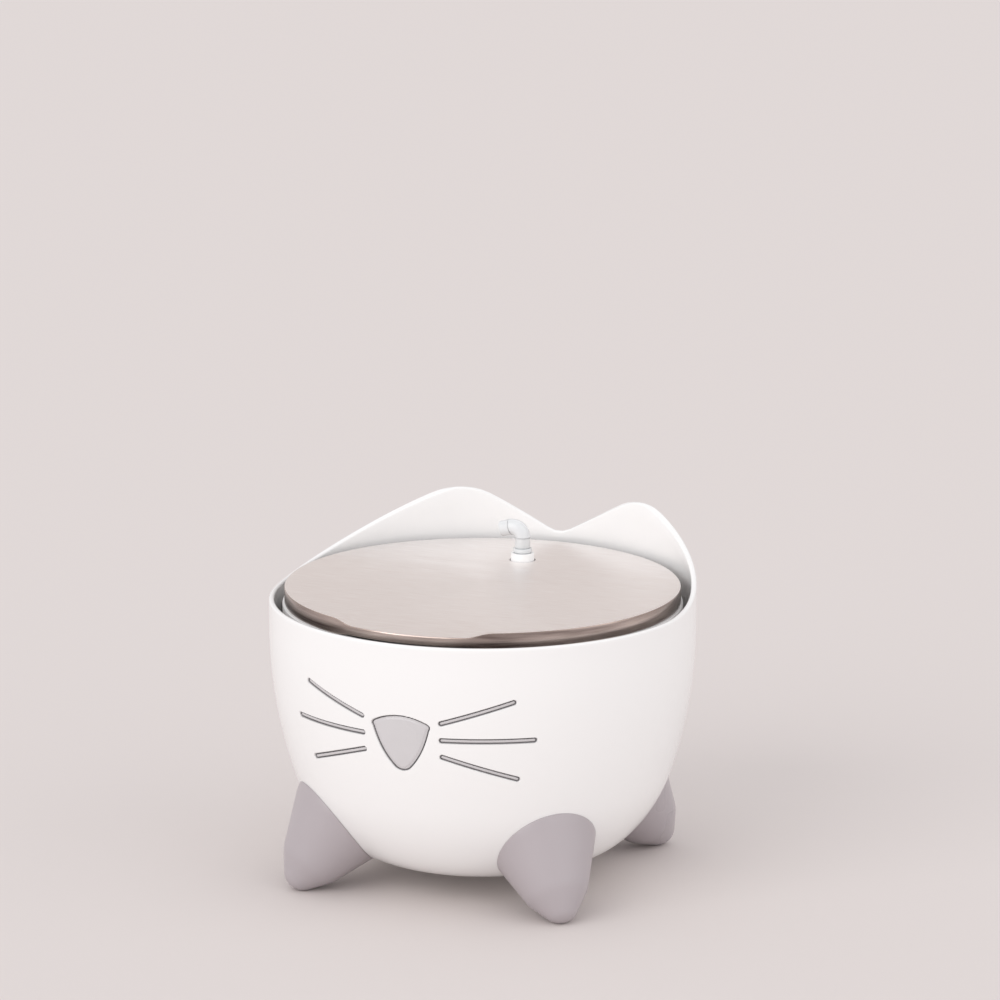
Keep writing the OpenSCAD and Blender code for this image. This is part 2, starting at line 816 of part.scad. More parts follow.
// ---- Spout ----
plug_z = collar_z - 7;
flange_d = 9.3;
plug_flange_h = 2;
plug_d = collar_bore - 0.2;
neck_d = 6.6;
elbow_z = collar_z + seat_gap + plug_flange_h + seat_gap;
bend_z = elbow_z + spout_h;
outlet_tail = 5;

module spout_plug() {
  color(clear, 0.6) translate([0, riser_y, 0]) difference() {
    union() {
      translate([0, 0, plug_z]) cylinder(d = plug_d, h = collar_z - plug_z + seat_gap);
      translate([0, 0, collar_z + seat_gap]) cylinder(d = flange_d, h = plug_flange_h);
    }
    translate([0, 0, plug_z - over]) cylinder(d = neck_d + 2 * run_gap, h = tall);
  }
}

// The straight runs are a hair thinner than the bend, and reach a little way into it
seam = 0.02;
seam_l = 0.3;

// Elbow of the spout with outer or inner diameter d, opening towards -X
module elbow(d, extra = 0) {
  translate([-bend_r, riser_y, bend_z]) rotate([90, 0, 0]) {
    rotate_extrude(angle = bend_a) translate([bend_r, 0]) circle(d = d, $fn = 32);
    rotate([0, 0, bend_a]) translate([bend_r, 0, 0]) rotate([-90, 0, 0])
      translate([0, 0, -seam_l]) cylinder(d = d - 2 * seam, h = outlet_tail + seam_l + extra);
  }
  translate([0, riser_y, elbow_z]) cylinder(d = d - 2 * seam, h = spout_h + seam_l);
}

module spout() {
  color(clear, 0.6) difference() {
    union() {
      elbow(spout_d);
      translate([0, riser_y, plug_z + 1]) cylinder(d = neck_d, h = elbow_z - plug_z);
    }
    elbow(spout_bore, over);
    translate([0, riser_y, plug_z]) cylinder(d = spout_bore - 2 * seam, h = bend_z - plug_z);
  }
}

// ---- Riser tube ----
module riser_tube() {
  color(clear, 0.5) translate([0, riser_y, tube_z]) difference() {
    cylinder(d = tube_d, h = tube_l);
    translate([0, 0, -over]) cylinder(d = tube_bore, h = tube_l + 2 * over);
  }
}

// ---- Pump, in its own frame: x along the pump, z from its underside ----
edge_r = 2.6;
wall = 1.8;
axis_z = pump_h / 2;
chamber_d = impeller_d + 2.4;
chamber_l = 9;
magnet_l = 17;
rotor_bore = magnet_d + 1.2;
coil_in_d = rotor_bore + 2.4;
coil_out_d = 24;
stator_l = 13;
joint_x = pump_back - intake_l;
chamber_x = joint_x - chamber_l;
rotor_x = chamber_x - magnet_l - 1.5;
bush_l = 2.2;
bush_d = 5;
stator_x = rotor_x + 2.5;
shaft_x0 = rotor_x - bush_l + 0.5;
shaft_x1 = pump_back - 2.2;
dial_y = -2.6;
dial_z = 18.4;
dial_l = 5.5;
stem_d = 4;
stem_l = 3;
led_y = 0.6;
led_z = 6.6;
led_d = 4;
gland_y = 9.2;
gland_z = 22;
gland_d = 6;
gland_l = 4.5;

// Bar along x with rounded long edges
module bar_x(x0, x1, w, h, r) {
  translate([x0, 0, h / 2]) rotate([90, 0, 90]) linear_extrude(x1 - x0) round_rect(w, h, r);
}
module rod_x(x0, x1, d, y = 0, z = axis_z) {
  translate([x0, y, z]) rotate([0, 90, 0]) cylinder(d = d, h = x1 - x0);
}

module pump_housing() {
  color(cool_white) pump_frame() difference() {
    union() {
      bar_x(-pump_front, joint_x, pump_w, pump_h, edge_r);
      translate([0, 0, pump_h - eps]) cylinder(d = nozzle_d, h = nozzle_l + eps);
      translate([0, 0, pump_h - eps]) cylinder(d1 = nozzle_d + 2.4, d2 = nozzle_d, h = 0.25);
    }
    rod_x(chamber_x, joint_x + over, chamber_d);
    rod_x(rotor_x, chamber_x + eps, rotor_bore);
    rod_x(rotor_x - bush_l, rotor_x + eps, bush_d + 2 * fit_gap);
    // Sealed room for the coil round the rotor
    difference() {
      rod_x(stator_x - fit_gap, stator_x + stator_l + fit_gap, coil_out_d + 2 * fit_gap);
      rod_x(stator_x - over, stator_x + stator_l + over, coil_in_d - 2 * fit_gap);
    }
    translate([0, 0, axis_z]) cylinder(d = pipe_bore, h = tall);
    rod_x(-pump_front - over, -pump_front + stem_l + 0.2, stem_d + 2 * run_gap, dial_y, dial_z);
    rod_x(-pump_front - over, -pump_front + 2, led_d + 2 * fit_gap, led_y, led_z);
    rod_x(-pump_front - over, -pump_front + 3, gland_d - 1.4 + 2 * fit_gap, gland_y, gland_z);
    for (x = cup_x, s = [-1, 1]) translate([x, s * cup_y, -over])
      cylinder(d = cup_neck_d + 2 * fit_gap, h = cup_neck_h + over + 0.2);
  }
}

cup_x = [-pump_front + 9, joint_x - 4];
cup_y = 9;
cup_d = 9;
cup_neck_d = 2.6;
cup_neck_h = 1.4;

module suction_cups() {
  color("#cfd4d6") pump_frame() for (x = cup_x, s = [-1, 1]) translate([x, s * cup_y, 0]) {
    translate([0, 0, -fit_gap - eps]) cylinder(d = cup_neck_d, h = cup_neck_h);
    translate([0, 0, -cup_h + seat_gap]) difference() {
      cylinder(d1 = cup_d, d2 = 4, h = cup_h - seat_gap - fit_gap);
      translate([0, 0, -eps]) cylinder(d1 = cup_d - 1.6, d2 = 3, h = 1.6);
    }
  }
}

module pump_cover() {
  slot_w = 2;
  slot_n = 5;
  color(cool_white) pump_frame() difference() {
    bar_x(joint_x + fit_gap, pump_back, pump_w, pump_h, edge_r);
    difference() {
      translate([0, 0, wall]) bar_x(joint_x, pump_back - wall, pump_w - 2 * wall, pump_h - 2 * wall, 1.4);
      rod_x(joint_x, pump_back, bush_d + 3);
    }
    rod_x(joint_x - over, shaft_x1 + bush_l - 1, bush_d + 2 * fit_gap);
    for (i = [0:slot_n - 1], s = [-1, 1]) {
      y = (i - (slot_n - 1) / 2) * 2.3 * slot_w;
      translate([pump_back - 3, y - slot_w / 2, axis_z + s * 8 - 3]) cube([6, slot_w, 6]);
    }
  }
}

module pump_gland() {
  color(cool_white) pump_frame() difference() {
    union() {
      rod_x(-pump_front - gland_l, -pump_front - fit_gap, gland_d, gland_y, gland_z);
      rod_x(-pump_front - 0.2, -pump_front + 2.8, gland_d - 1.4, gland_y, gland_z);
    }
    rod_x(-pump_front - gland_l - over, -pump_front + 2, lead_d + 2 * fit_gap, gland_y, gland_z);
  }
}

module led_lens() {
  color("red") pump_frame() {
    rod_x(-pump_front, -pump_front + 1.8, led_d, led_y, led_z);
    intersection() {
      translate([-pump_front, led_y, led_z]) sphere(d = led_d);
      rod_x(-pump_front - led_d, -pump_front + eps, led_d + 2, led_y, led_z);
    }
  }
}

module flow_dial() {
  color(white) pump_frame() difference() {
    union() {
      rod_x(-pump_front - dial_l, -pump_front - fit_gap, dial_d, dial_y, dial_z);
      rod_x(-pump_front - 0.2, -pump_front + stem_l, stem_d, dial_y, dial_z);
    }
    // Slot that a fingernail turns
    translate([-pump_front - dial_l - over, dial_y - dial_d, dial_z - 0.5])
      cube([over + 0.8, 2 * dial_d, 1]);
  }
}

blade_n = 6;
blade_t = 1;
blade_l = 6;
blade_x = chamber_x + 1.2;

module impeller() {
  color(white) pump_frame() difference() {
    union() {
      rod_x(blade_x, blade_x + blade_l, 5);
      rod_x(blade_x, blade_x + 1, impeller_d - 5);
      intersection() {
        for (i = [0:blade_n - 1]) translate([blade_x, 0, axis_z]) rotate([i * 360 / blade_n, 0, 0])
          translate([0, -blade_t / 2, 0]) cube([blade_l, blade_t, impeller_d / 2]);
        rod_x(blade_x - 1, blade_x + blade_l + 1, impeller_d);
      }
    }
    rod_x(blade_x - over, blade_x + blade_l + over, shaft_d + 2 * run_gap);
  }
}

module rotor_magnet() {
  color("dimgray") pump_frame() difference() {
    rod_x(rotor_x + 0.8, blade_x, magnet_d);
    rod_x(rotor_x - over, blade_x + over, shaft_d + 2 * run_gap);
  }
}

module impeller_shaft() {
  color("silver") pump_frame() rod_x(shaft_x0, shaft_x1, shaft_d);
}

module shaft_bushes() {
  color("#555555") pump_frame() {
    difference() {
      rod_x(rotor_x - bush_l + fit_gap, rotor_x, bush_d);
      rod_x(shaft_x0 - fit_gap, rotor_x + over, shaft_d + 0.02);
    }
    difference() {
      rod_x(shaft_x1 - bush_l, shaft_x1 + 1, bush_d);
      rod_x(shaft_x1 - bush_l - over, shaft_x1 + fit_gap, shaft_d + 0.02);
    }
  }
}

module stator_coil() {
  color("#b87333") pump_frame() difference() {
    rod_x(stator_x, stator_x + stator_l, coil_out_d);
    rod_x(stator_x - over, stator_x + stator_l + over, coil_in_d);
  }
}

// ---- Leads: round points chosen along each route, joined by a smooth curve ----
function curve_point(a, b, c, d, t) =
  0.5 * (2 * b + (c - a) * t + (2 * a - 5 * b + 4 * c - d) * t * t + (3 * b - a - 3 * c + d) * t * t * t);
function smooth(p, n) = concat(
  [for (i = [0:len(p) - 2], j = [0:n - 1])
    curve_point(p[max(i - 1, 0)], p[i], p[i + 1], p[min(i + 2, len(p) - 1)], j / n)],
  [p[len(p) - 1]]
);
function unit(v) = v / norm(v);
function heading(p, i) = unit(p[min(i + 1, len(p) - 1)] - p[max(i - 1, 0)]);
// Sideways direction carried from ring to ring without twist
function sideways(p, i, u) =
  let (h = heading(p, i), v = unit(u - h * (u * h)))
  i == len(p) - 1 ? [v] : concat([v], sideways(p, i + 1, v));

module lead(route, steps, up = [0, 0, 1], sides = 8) {
  path = smooth(route, steps);
  side = sideways(path, 0, up);
  last = len(path) - 1;
  rings = [for (i = [0:last], k = [0:sides - 1]) let (a = k * 360 / sides)
    path[i] + lead_d / 2 * (cos(a) * side[i] + sin(a) * cross(heading(path, i), side[i]))];
  polyhedron(rings, concat(
    [[for (k = [0:sides - 1]) k]],
    [for (i = [0:last - 1], k = [0:sides - 1])
      [i * sides + k, (i + 1) * sides + k, (i + 1) * sides + (k + 1) % sides, i * sides + (k + 1) % sides]],
    [[for (k = [sides - 1:-1:0]) last * sides + k]]
  ));
}

inner_route = [[-30.5, 34.5, 58], [-34, 31, 58], [-39, 27, 57], [-43, 28, 52], [-41, 34, 47],
  [-36, 44, 46], [-31, 54, 50], [-26, 62, 60], [-22, 66, 78], [-19, 66, 98], [-18, 67, 109],
  [-18, 69, 112], [-18, 71.2, 112]];
bay_route = [[-18, 76.3, 112], [-18, 80, 111], [-16, 82, 100], [-10, 82, 76], [-4, 80, 56],
  [0, 80, 46], [0, 83, 44]];
cord_route = [[0, 103, 44], [0, 107, 44], [-1, 114, 38], [-4, 118, 24], [-9, 120, 10],
  [-14, 123, 3], [-20, 128.5, 2.3], [-29, 138.1, 2.3]];
tail_route = [[-27.5, 130.3, 9.2], [-26, 133.8, 7.6], [-24, 138.5, 5.6], [-20.5, 146.5, 3.7],
  [-17.4, 153, 3.2],
  [-16.8, 157.4, 3.3], [-17.4, 160.3, 3.4], [-19, 162.8, 3.6], [-21.5, 164.4, 3.8],
  [-24.4, 165, 4], [-26.9, 165, 4]];

module inner_lead() { color(white) lead(inner_route, 3, [0, 0, 1]); }
module bay_lead() { color(white) lead(bay_route, 3, [1, 0, 0]); }
module cord() {
  color(white) {
    lead(cord_route, 3, [1, 0, 0]);
    lead(tail_route, 3, [0, 0, 1]);
  }
}

coil_x = -55;
coil_y = 130;
tie_t = 0.6;
tie_w = 7;
coil_z = tie_t + fit_gap;
coil_out_r = coil_r + coil_across * lead_d;
coil_top = coil_z + coil_layers * lead_d;
tie_a = 200;

module cord_coil() {
  height = coil_layers * lead_d;
  color(white) translate([coil_x, coil_y, coil_z]) rotate_extrude()
    translate([(coil_r + coil_out_r) / 2, height / 2])
      round_rect(coil_out_r - coil_r, height, lead_d / 2);
}

module coil_tie() {
  color("dimgray") translate([coil_x, coil_y, 0]) rotate([0, 0, tie_a]) difference() {
    translate([coil_r - tie_t - 2 * fit_gap, -tie_w / 2, 0])
      cube([coil_out_r - coil_r + 2 * tie_t + 4 * fit_gap, tie_w, coil_top + tie_t + fit_gap]);
    difference() {
      translate([0, 0, coil_z - fit_gap])
        cylinder(r = coil_out_r + fit_gap, h = coil_top - coil_z + 2 * fit_gap);
      translate([0, 0, -over]) cylinder(r = coil_r - fit_gap, h = tall);
    }
  }
}

plug_x = -33;
plug_y = 165;
plug_w = 16;
plug_h = 8;
relief_l = 6;
shell_l = 18.75;
shell_w = 12;
shell_h = 4.5;
shell_sheet = 0.4;
shell_room = 14;

module usb_body() {
  color(white) difference() {
    union() {
      translate([plug_x - plug_l, plug_y, plug_h / 2]) rotate([90, 0, 90]) linear_extrude(plug_l)
        round_rect(plug_w, plug_h, 2.4);
      translate([plug_x - eps, plug_y, plug_h / 2]) rotate([0, 90, 0])
        cylinder(d1 = 7, d2 = 5, h = relief_l);
    }
    translate([plug_x - plug_l - over, plug_y - shell_w / 2 - fit_gap, plug_h / 2 - shell_h / 2 - fit_gap])
      cube([6 + over, shell_w + 2 * fit_gap, shell_h + 2 * fit_gap]);
  }
}

module usb_shell() {
  x = plug_x - plug_l - shell_l + 5.5;
  color("silver") translate([x, plug_y - shell_w / 2, plug_h / 2 - shell_h / 2]) difference() {
    cube([shell_l, shell_w, shell_h]);
    translate([-over, shell_sheet, shell_sheet])
      cube([shell_room + over, shell_w - 2 * shell_sheet, shell_h - 2 * shell_sheet]);
  }
}

bowl();
rim_left();
rim_right();
tray_ribs();
cord_duct();
pump_dock();
foot_front_left();
foot_front_right();
foot_back_left();
foot_back_right();
face_window();
rear_cover();
cover_screws();
cord_grommet();
bay_lead();
outlet_bush();
tray();
tray_well();
riser_dome();
ring_lugs();
ring_pin();
pull_ring();
filter_shell();
filter_film();
carbon_fill();
resin_fill();
steel_plate();
plate_rim();
spout_plug();
spout();
riser_tube();
pump_housing();
pump_cover();
pump_gland();
led_lens();
flow_dial();
suction_cups();
impeller();
rotor_magnet();
impeller_shaft();
shaft_bushes();
stator_coil();
inner_lead();
cord();
cord_coil();
coil_tie();
usb_body();
usb_shell();
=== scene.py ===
"""Pet water fountain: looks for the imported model. Metres, +Z up, front towards -Y."""
import json
import math

import bmesh
import bpy
import numpy as np
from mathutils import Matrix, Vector

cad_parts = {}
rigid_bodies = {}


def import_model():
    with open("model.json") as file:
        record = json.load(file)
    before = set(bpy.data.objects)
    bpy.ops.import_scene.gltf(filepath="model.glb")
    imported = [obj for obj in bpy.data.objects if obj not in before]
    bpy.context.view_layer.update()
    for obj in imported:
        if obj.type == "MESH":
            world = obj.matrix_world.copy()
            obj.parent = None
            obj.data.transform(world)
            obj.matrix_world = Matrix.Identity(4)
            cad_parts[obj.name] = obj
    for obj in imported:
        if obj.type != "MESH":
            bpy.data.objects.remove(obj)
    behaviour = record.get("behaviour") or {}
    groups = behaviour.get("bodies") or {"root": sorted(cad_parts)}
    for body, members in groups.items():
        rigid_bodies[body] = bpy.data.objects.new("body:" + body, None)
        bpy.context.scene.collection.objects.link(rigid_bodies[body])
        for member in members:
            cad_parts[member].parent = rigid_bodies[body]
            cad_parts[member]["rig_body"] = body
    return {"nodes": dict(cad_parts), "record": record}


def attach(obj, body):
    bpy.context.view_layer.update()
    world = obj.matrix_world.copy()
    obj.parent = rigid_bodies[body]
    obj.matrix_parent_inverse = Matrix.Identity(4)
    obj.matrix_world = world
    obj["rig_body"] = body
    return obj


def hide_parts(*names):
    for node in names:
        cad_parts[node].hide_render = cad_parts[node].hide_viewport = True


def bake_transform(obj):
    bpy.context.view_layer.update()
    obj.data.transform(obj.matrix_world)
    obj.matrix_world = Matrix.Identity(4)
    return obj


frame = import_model()
scene = bpy.context.scene
scene.view_settings.view_transform = "Standard"
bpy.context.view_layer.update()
# Sizes are in millimetres and become metres with this
MM = 0.001

# ---------------------------------------------------------------- camera
# It stands right of the front and looks a little down, at a distance from the upright axis
CAM_AZ = math.radians(22.27)
CAM_PITCH = math.radians(12.78)
CAM_DIST, CAM_H = 2.0, 0.6381
CAM_LENS, CAM_SHIFT = 153.13, 0.0173
cam = bpy.data.objects.new("camera", bpy.data.cameras.new("camera"))
scene.collection.objects.link(cam)
cam.location = (math.sin(CAM_AZ) * CAM_DIST, -math.cos(CAM_AZ) * CAM_DIST, CAM_H)
cam.rotation_euler = (math.pi / 2 - CAM_PITCH, 0, CAM_AZ)
cam.data.sensor_width = 36
cam.data.lens = CAM_LENS
cam.data.shift_x = CAM_SHIFT
cam.data.clip_start, cam.data.clip_end = 0.05, 60
scene.camera = cam


# ---------------------------------------------------------------- meshes
def add(name, verts, faces, mat, body, replaces, slot, sharp=35):
    """New piece from points in millimetres, smooth but for edges over `sharp` degrees."""
    me = bpy.data.meshes.new(name)
    points = [tuple(float(c) * MM for c in v) for v in verts]
    me.from_pydata(points, [], [list(map(int, f)) for f in faces])
    bm = bmesh.new()
    bm.from_mesh(me)
    bmesh.ops.remove_doubles(bm, verts=bm.verts, dist=1e-6)
    bmesh.ops.dissolve_degenerate(bm, edges=bm.edges, dist=1e-7)
    bmesh.ops.recalc_face_normals(bm, faces=bm.faces)
    bm.to_mesh(me)
    bm.free()
    me.shade_smooth()
    me.set_sharp_from_angle(angle=math.radians(sharp))
    o = bpy.data.objects.new(name, me)
    scene.collection.objects.link(o)
    me.materials.append(mat)
    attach(o, body)
    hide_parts(*replaces)
    return o


def grid_faces(nu, nv, wrap_u=False, wrap_v=False):
    """Quads of a grid of nu columns by nv rows, stored column by column."""
    faces = []
    for i in range(nu if wrap_u else nu - 1):
        for j in range(nv if wrap_v else nv - 1):
            a, b = i * nv, ((i + 1) % nu) * nv
            k = (j + 1) % nv
            faces.append([a + j, b + j, b + k, a + k])
    return faces


def join(parts):
    """One list of points and faces from several."""
    verts, faces, base = [], [], 0
    for v, f in parts:
        verts.extend([tuple(p) for p in v])
        faces.extend([[i + base for i in q] for q in f])
        base += len(v)
    return verts, faces


def arc(cx, cz, r, a0, a1, n):
    """Points of an arc from a0 to a1 degrees in n steps."""
    t = np.radians(np.linspace(a0, a1, n + 1))
    return [(cx + r * math.cos(a), cz + r * math.sin(a)) for a in t]


def smooth(points, n):
    """Catmull-Rom curve through the points, n steps to a span."""
    p = [np.array(q, float) for q in points]
    out = []
    for i in range(len(p) - 1):
        a, b, c, d = p[max(i - 1, 0)], p[i], p[i + 1], p[min(i + 2, len(p) - 1)]
        for j in range(n):
            t = j / n
            out.append(0.5 * (2 * b + (c - a) * t + (2 * a - 5 * b + 4 * c - d) * t * t
                              + (3 * b - a - 3 * c + d) * t ** 3))
    out.append(p[-1])
    return out


def pipe(path, r, n):
    """Points and faces of a round rod with n sides along a path."""
    p = np.array(path, float)
    heads = np.gradient(p, axis=0)
    heads /= np.linalg.norm(heads, axis=1)[:, None]
    around = [2 * math.pi * i / n for i in range(n)]
    u = np.array([0.0, 0.0, 1.0])
    verts = []
    for point, h in zip(p, heads):
        u = u - h * (u @ h)
        u /= np.linalg.norm(u)
        w = np.cross(h, u)
        verts += [point + w * (r * math.cos(a)) + u * (r * math.sin(a)) for a in around]
    last = (len(p) - 1) * n
    ends = [list(range(n)), list(range(last, last + n))[::-1]]
    return verts, grid_faces(len(p), n, False, True) + ends


# ---------------------------------------------------------------- materials
def srgb(*c):
    """Linear colour from 0 to 255 display values."""
    v = [x / 255 for x in c]
    return [x / 12.92 if x <= 0.04045 else ((x + 0.055) / 1.055) ** 2.4 for x in v] + [1.0]


PLASTIC_IOR, COAT_ROUGH, GRAIN_HEIGHT = 1.46, 0.08, 0.0004


def material(name, color, rough, vary=0.03, grain=900, bump=0.02, rough_vary=0.06, metallic=0.0,
             coat=0.0, sheen=0.0, alpha=1.0, stretch=None, blotch=25, dark=None, aniso=0.0):
    """Moulded or brushed finish: fine grain in the bump, broad blotches in colour and roughness.

    grain and blotch are noise scales per metre. With dark, the grain also mixes that colour in.
    """
    m = bpy.data.materials.new(name)
    m.use_nodes = True
    nt = m.node_tree
    b = nt.nodes["Principled BSDF"]
    b.inputs["Metallic"].default_value = metallic
    b.inputs["IOR"].default_value = PLASTIC_IOR
    b.inputs["Coat Weight"].default_value = coat
    b.inputs["Coat Roughness"].default_value = COAT_ROUGH
    b.inputs["Sheen Weight"].default_value = sheen
    b.inputs["Alpha"].default_value = alpha
    b.inputs["Anisotropic"].default_value = aniso
    coord = nt.nodes.new("ShaderNodeTexCoord")
    mapping = nt.nodes.new("ShaderNodeMapping")
    nt.links.new(coord.outputs["Object"], mapping.inputs["Vector"])
    if stretch:
        mapping.inputs["Scale"].default_value = stretch

    def noise(scale, detail=3):
        n = nt.nodes.new("ShaderNodeTexNoise")
        n.inputs["Scale"].default_value = scale
        n.inputs["Detail"].default_value = detail
        nt.links.new(mapping.outputs["Vector"], n.inputs["Vector"])
        return n

    def ramp(source, lo, hi):
        r = nt.nodes.new("ShaderNodeValToRGB")
        first, last = r.color_ramp.elements
        first.position, last.position = 0.3, 0.7
        first.color, last.color = lo, hi
        nt.links.new(source.outputs["Fac"], r.inputs["Fac"])
        return r

    fine, broad = noise(grain), noise(blotch, 2)
    low = dark or [c * (1 - vary) for c in color[:3]] + [1]
    colour = ramp(fine if dark else broad, low, color)
    nt.links.new(colour.outputs["Color"], b.inputs["Base Color"])
    lo, hi = max(rough - rough_vary, 0.02), rough + rough_vary
    shine = ramp(broad, [lo] * 3 + [1], [hi] * 3 + [1])
    nt.links.new(shine.outputs["Color"], b.inputs["Roughness"])
    bp = nt.nodes.new("ShaderNodeBump")
    bp.inputs["Strength"].default_value = bump
    bp.inputs["Distance"].default_value = GRAIN_HEIGHT
    nt.links.new(fine.outputs["Fac"], bp.inputs["Height"])
    nt.links.new(bp.outputs["Normal"], b.inputs["Normal"])
    return m


def feed(nt, socket, value):
    """Links a socket to another node's, or sets it to a plain value."""
    if isinstance(value, bpy.types.NodeSocket):
        nt.links.new(value, socket)
    else:
        socket.default_value = value


def maths(nt, operation, *values):
    """Output of a math node on sockets or plain values."""
    node = nt.nodes.new("ShaderNodeMath")
    node.operation = operation
    for socket, value in zip(node.inputs, values):
        feed(nt, socket, value)
    return node.outputs["Value"]


def share(nt, value, start, end):
    """Goes from 0 to 1 as value goes from start to end."""
    node = nt.nodes.new("ShaderNodeMapRange")
    feed(nt, node.inputs["From Min"], start)
    feed(nt, node.inputs["From Max"], end)
    feed(nt, node.inputs["Value"], value)
    return node.outputs["Result"]


def mix_colours(nt, factor, first, second):
    """The first colour at factor 0, the second at 1."""
    node = nt.nodes.new("ShaderNodeMix")
    node.data_type = "RGBA"
    feed(nt, node.inputs["Factor"], factor)
    # The colour mix has its own two inputs and output among those of the other kinds
    feed(nt, node.inputs[6], first)
    feed(nt, node.inputs[7], second)
    return node.outputs[2]


def paint_shade_by(m, attribute, start, end, colour):
    """Mixes a colour of painted shade in where a mesh attribute goes from start to end."""
    nt = m.node_tree
    base = nt.nodes["Principled BSDF"].inputs["Base Color"]
    value = nt.nodes.new("ShaderNodeAttribute")
    value.attribute_name = attribute
    part = share(nt, value.outputs["Fac"], start, end)
    nt.links.new(mix_colours(nt, part, base.links[0].from_socket, colour), base)


M = {
    "bowl": material("bowl_gloss", srgb(249, 248, 247), 0.22, vary=0.012, bump=0.01, coat=0.25,
                     grain=260, blotch=9, rough_vary=0.03),
    "foot": material("foot_satin", srgb(181, 173, 176), 0.3, vary=0.03, bump=0.02, blotch=18),
    "face": material("face_frost", srgb(212, 209, 210), 0.28, vary=0.03, bump=0.03, coat=0.3, blotch=40),
    "tray": material("tray_satin", srgb(249, 248, 247), 0.36, vary=0.015, bump=0.02, grain=700),
    "filter": material("filter_film", srgb(238, 246, 247), 0.16, vary=0.02, bump=0.05, grain=400,
                       alpha=0.24),
    "fleece": material("filter_fleece", srgb(246, 251, 251), 0.6, vary=0.04, bump=0.25, grain=900,
                       alpha=0.72, blotch=120),
    "carbon": material("carbon_grain", srgb(232, 233, 230), 0.8, bump=0.7, grain=700,
                       dark=srgb(158, 158, 156)),
    "resin": material("resin_grain", srgb(255, 236, 214), 0.55, bump=0.6, grain=700,
                      dark=srgb(234, 198, 164)),
    "spout": material("spout_milky", srgb(244, 246, 247), 0.2, vary=0.02, bump=0.02,
                      alpha=0.82, coat=0.4),
    "tube": material("tube_clear", srgb(252, 251, 248), 0.06, vary=0.01, bump=0.01,
                     alpha=0.44, coat=1.0),
    "pump": material("pump_satin", srgb(232, 229, 231), 0.42, vary=0.02, bump=0.08, grain=1500),
    "led": material("led_red", srgb(214, 38, 34), 0.1, vary=0.15, bump=0.01, coat=0.6),
    "rubber": material("grey_rubber", srgb(205, 206, 208), 0.6, bump=0.1),
    "cable": material("cable_sheath", srgb(236, 233, 231), 0.42, bump=0.08, grain=1200),
    "magnet": material("ferrite", srgb(70, 70, 72), 0.5, vary=0.2, bump=0.15),
    "pin": material("polished_pin", srgb(196, 196, 198), 0.2, metallic=1.0, vary=0.06, bump=0.03,
                    stretch=(1, 12, 12)),
    "copper": material("enamelled_copper", srgb(190, 118, 74), 0.3, metallic=0.9, vary=0.2, bump=0.3),
    "strap": material("woven_strap", srgb(92, 92, 96), 0.85, vary=0.2, bump=0.5, grain=1600,
                      sheen=0.3),
    "plug": material("plated_shell", srgb(204, 204, 207), 0.22, metallic=1.0, vary=0.05, bump=0.03,
                     stretch=(12, 1, 1)),
}
SLOT_MATERIAL = {
    "bowl_plastic": "bowl", "foot_plastic": "foot", "face_clear": "face", "tray_plastic": "tray",
    "ring_plastic": "tray", "filter_clear": "filter", "carbon": "carbon", "resin": "resin",
    "steel": "pin", "spout_clear": "spout", "tube_clear": "tube", "pump_plastic": "pump",
    "led_red": "led", "soft_rubber": "rubber", "cable_white": "cable", "magnet": "magnet",
    "steel_pin": "pin", "copper": "copper", "tie_strap": "strap", "plug_metal": "plug",
}
SLOT_OF = {part["node"]: part["material_slot"] for part in frame["record"]["subparts"]}
SAME_POINT = 2e-6
for name, slot in SLOT_OF.items():
    node = frame["nodes"][name]
    node.data.materials.clear()
    node.data.materials.append(M[SLOT_MATERIAL[slot]])
    weld = node.modifiers.new("weld", "WELD")
    weld.merge_threshold = SAME_POINT

# ---------------------------------------------------------------- leads
# The lead's diameter, and its coil: middle, inner radius, underside, turns across and layers
LEAD = 3.2
COIL = (-55.0, 130.0)
COIL_IN, COIL_Z, ACROSS, LAYERS = 12.6, 0.7, 4, 3


def lead(name, points, nodes):
    """A round lead on one open spline through points in millimetres."""
    cu = bpy.data.curves.new(name, "CURVE")
    cu.dimensions = "3D"
    cu.bevel_depth = LEAD / 2 * MM
    cu.bevel_resolution = 4
    cu.use_fill_caps = True
    sp = cu.splines.new("POLY")
    sp.points.add(len(points) - 1)
    for q, p in zip(sp.points, points):
        q.co = (*[float(c) * MM for c in p], 1)
    sp.use_smooth = True
    o = bpy.data.objects.new(name, cu)
    scene.collection.objects.link(o)
    cu.materials.append(M["cable"])
    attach(o, "base")
    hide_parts(*nodes)
    return o


def ease(t):
    """Goes from 0 to 1 as t does, level at both ends."""
    t = np.clip(t, 0, 1)
    return t * t * (3 - 2 * t)


def winding():
    """Turns of the coil: inwards along the floor, outwards above them, inwards again on top."""
    # A turn moves over to its neighbour in its last fifth; the top layer stops short of its end
    steps, start, move, short = 30, math.radians(45), 0.2, 0.4
    turn, points = 0, []
    for layer in range(LAYERS):
        last = layer == LAYERS - 1
        for k in range(int((ACROSS - short) * steps) if last else ACROSS * steps):
            t = k / steps
            whole = int(t)
            across = min(whole + ease((t - whole - 1 + move) / move), ACROSS - 1)
            if layer % 2:
                across = ACROSS - 1 - across
            r = COIL_IN + LEAD * (ACROSS - 0.5 - across)
            z = COIL_Z + LEAD * (layer + 0.5)
            if not last:
                z += LEAD * ease((t - ACROSS + move) / move)
            a = start + 2 * math.pi * (turn + t)
            points.append((COIL[0] + r * math.cos(a), COIL[1] + r * math.sin(a), z))
        turn += ACROSS
    return points


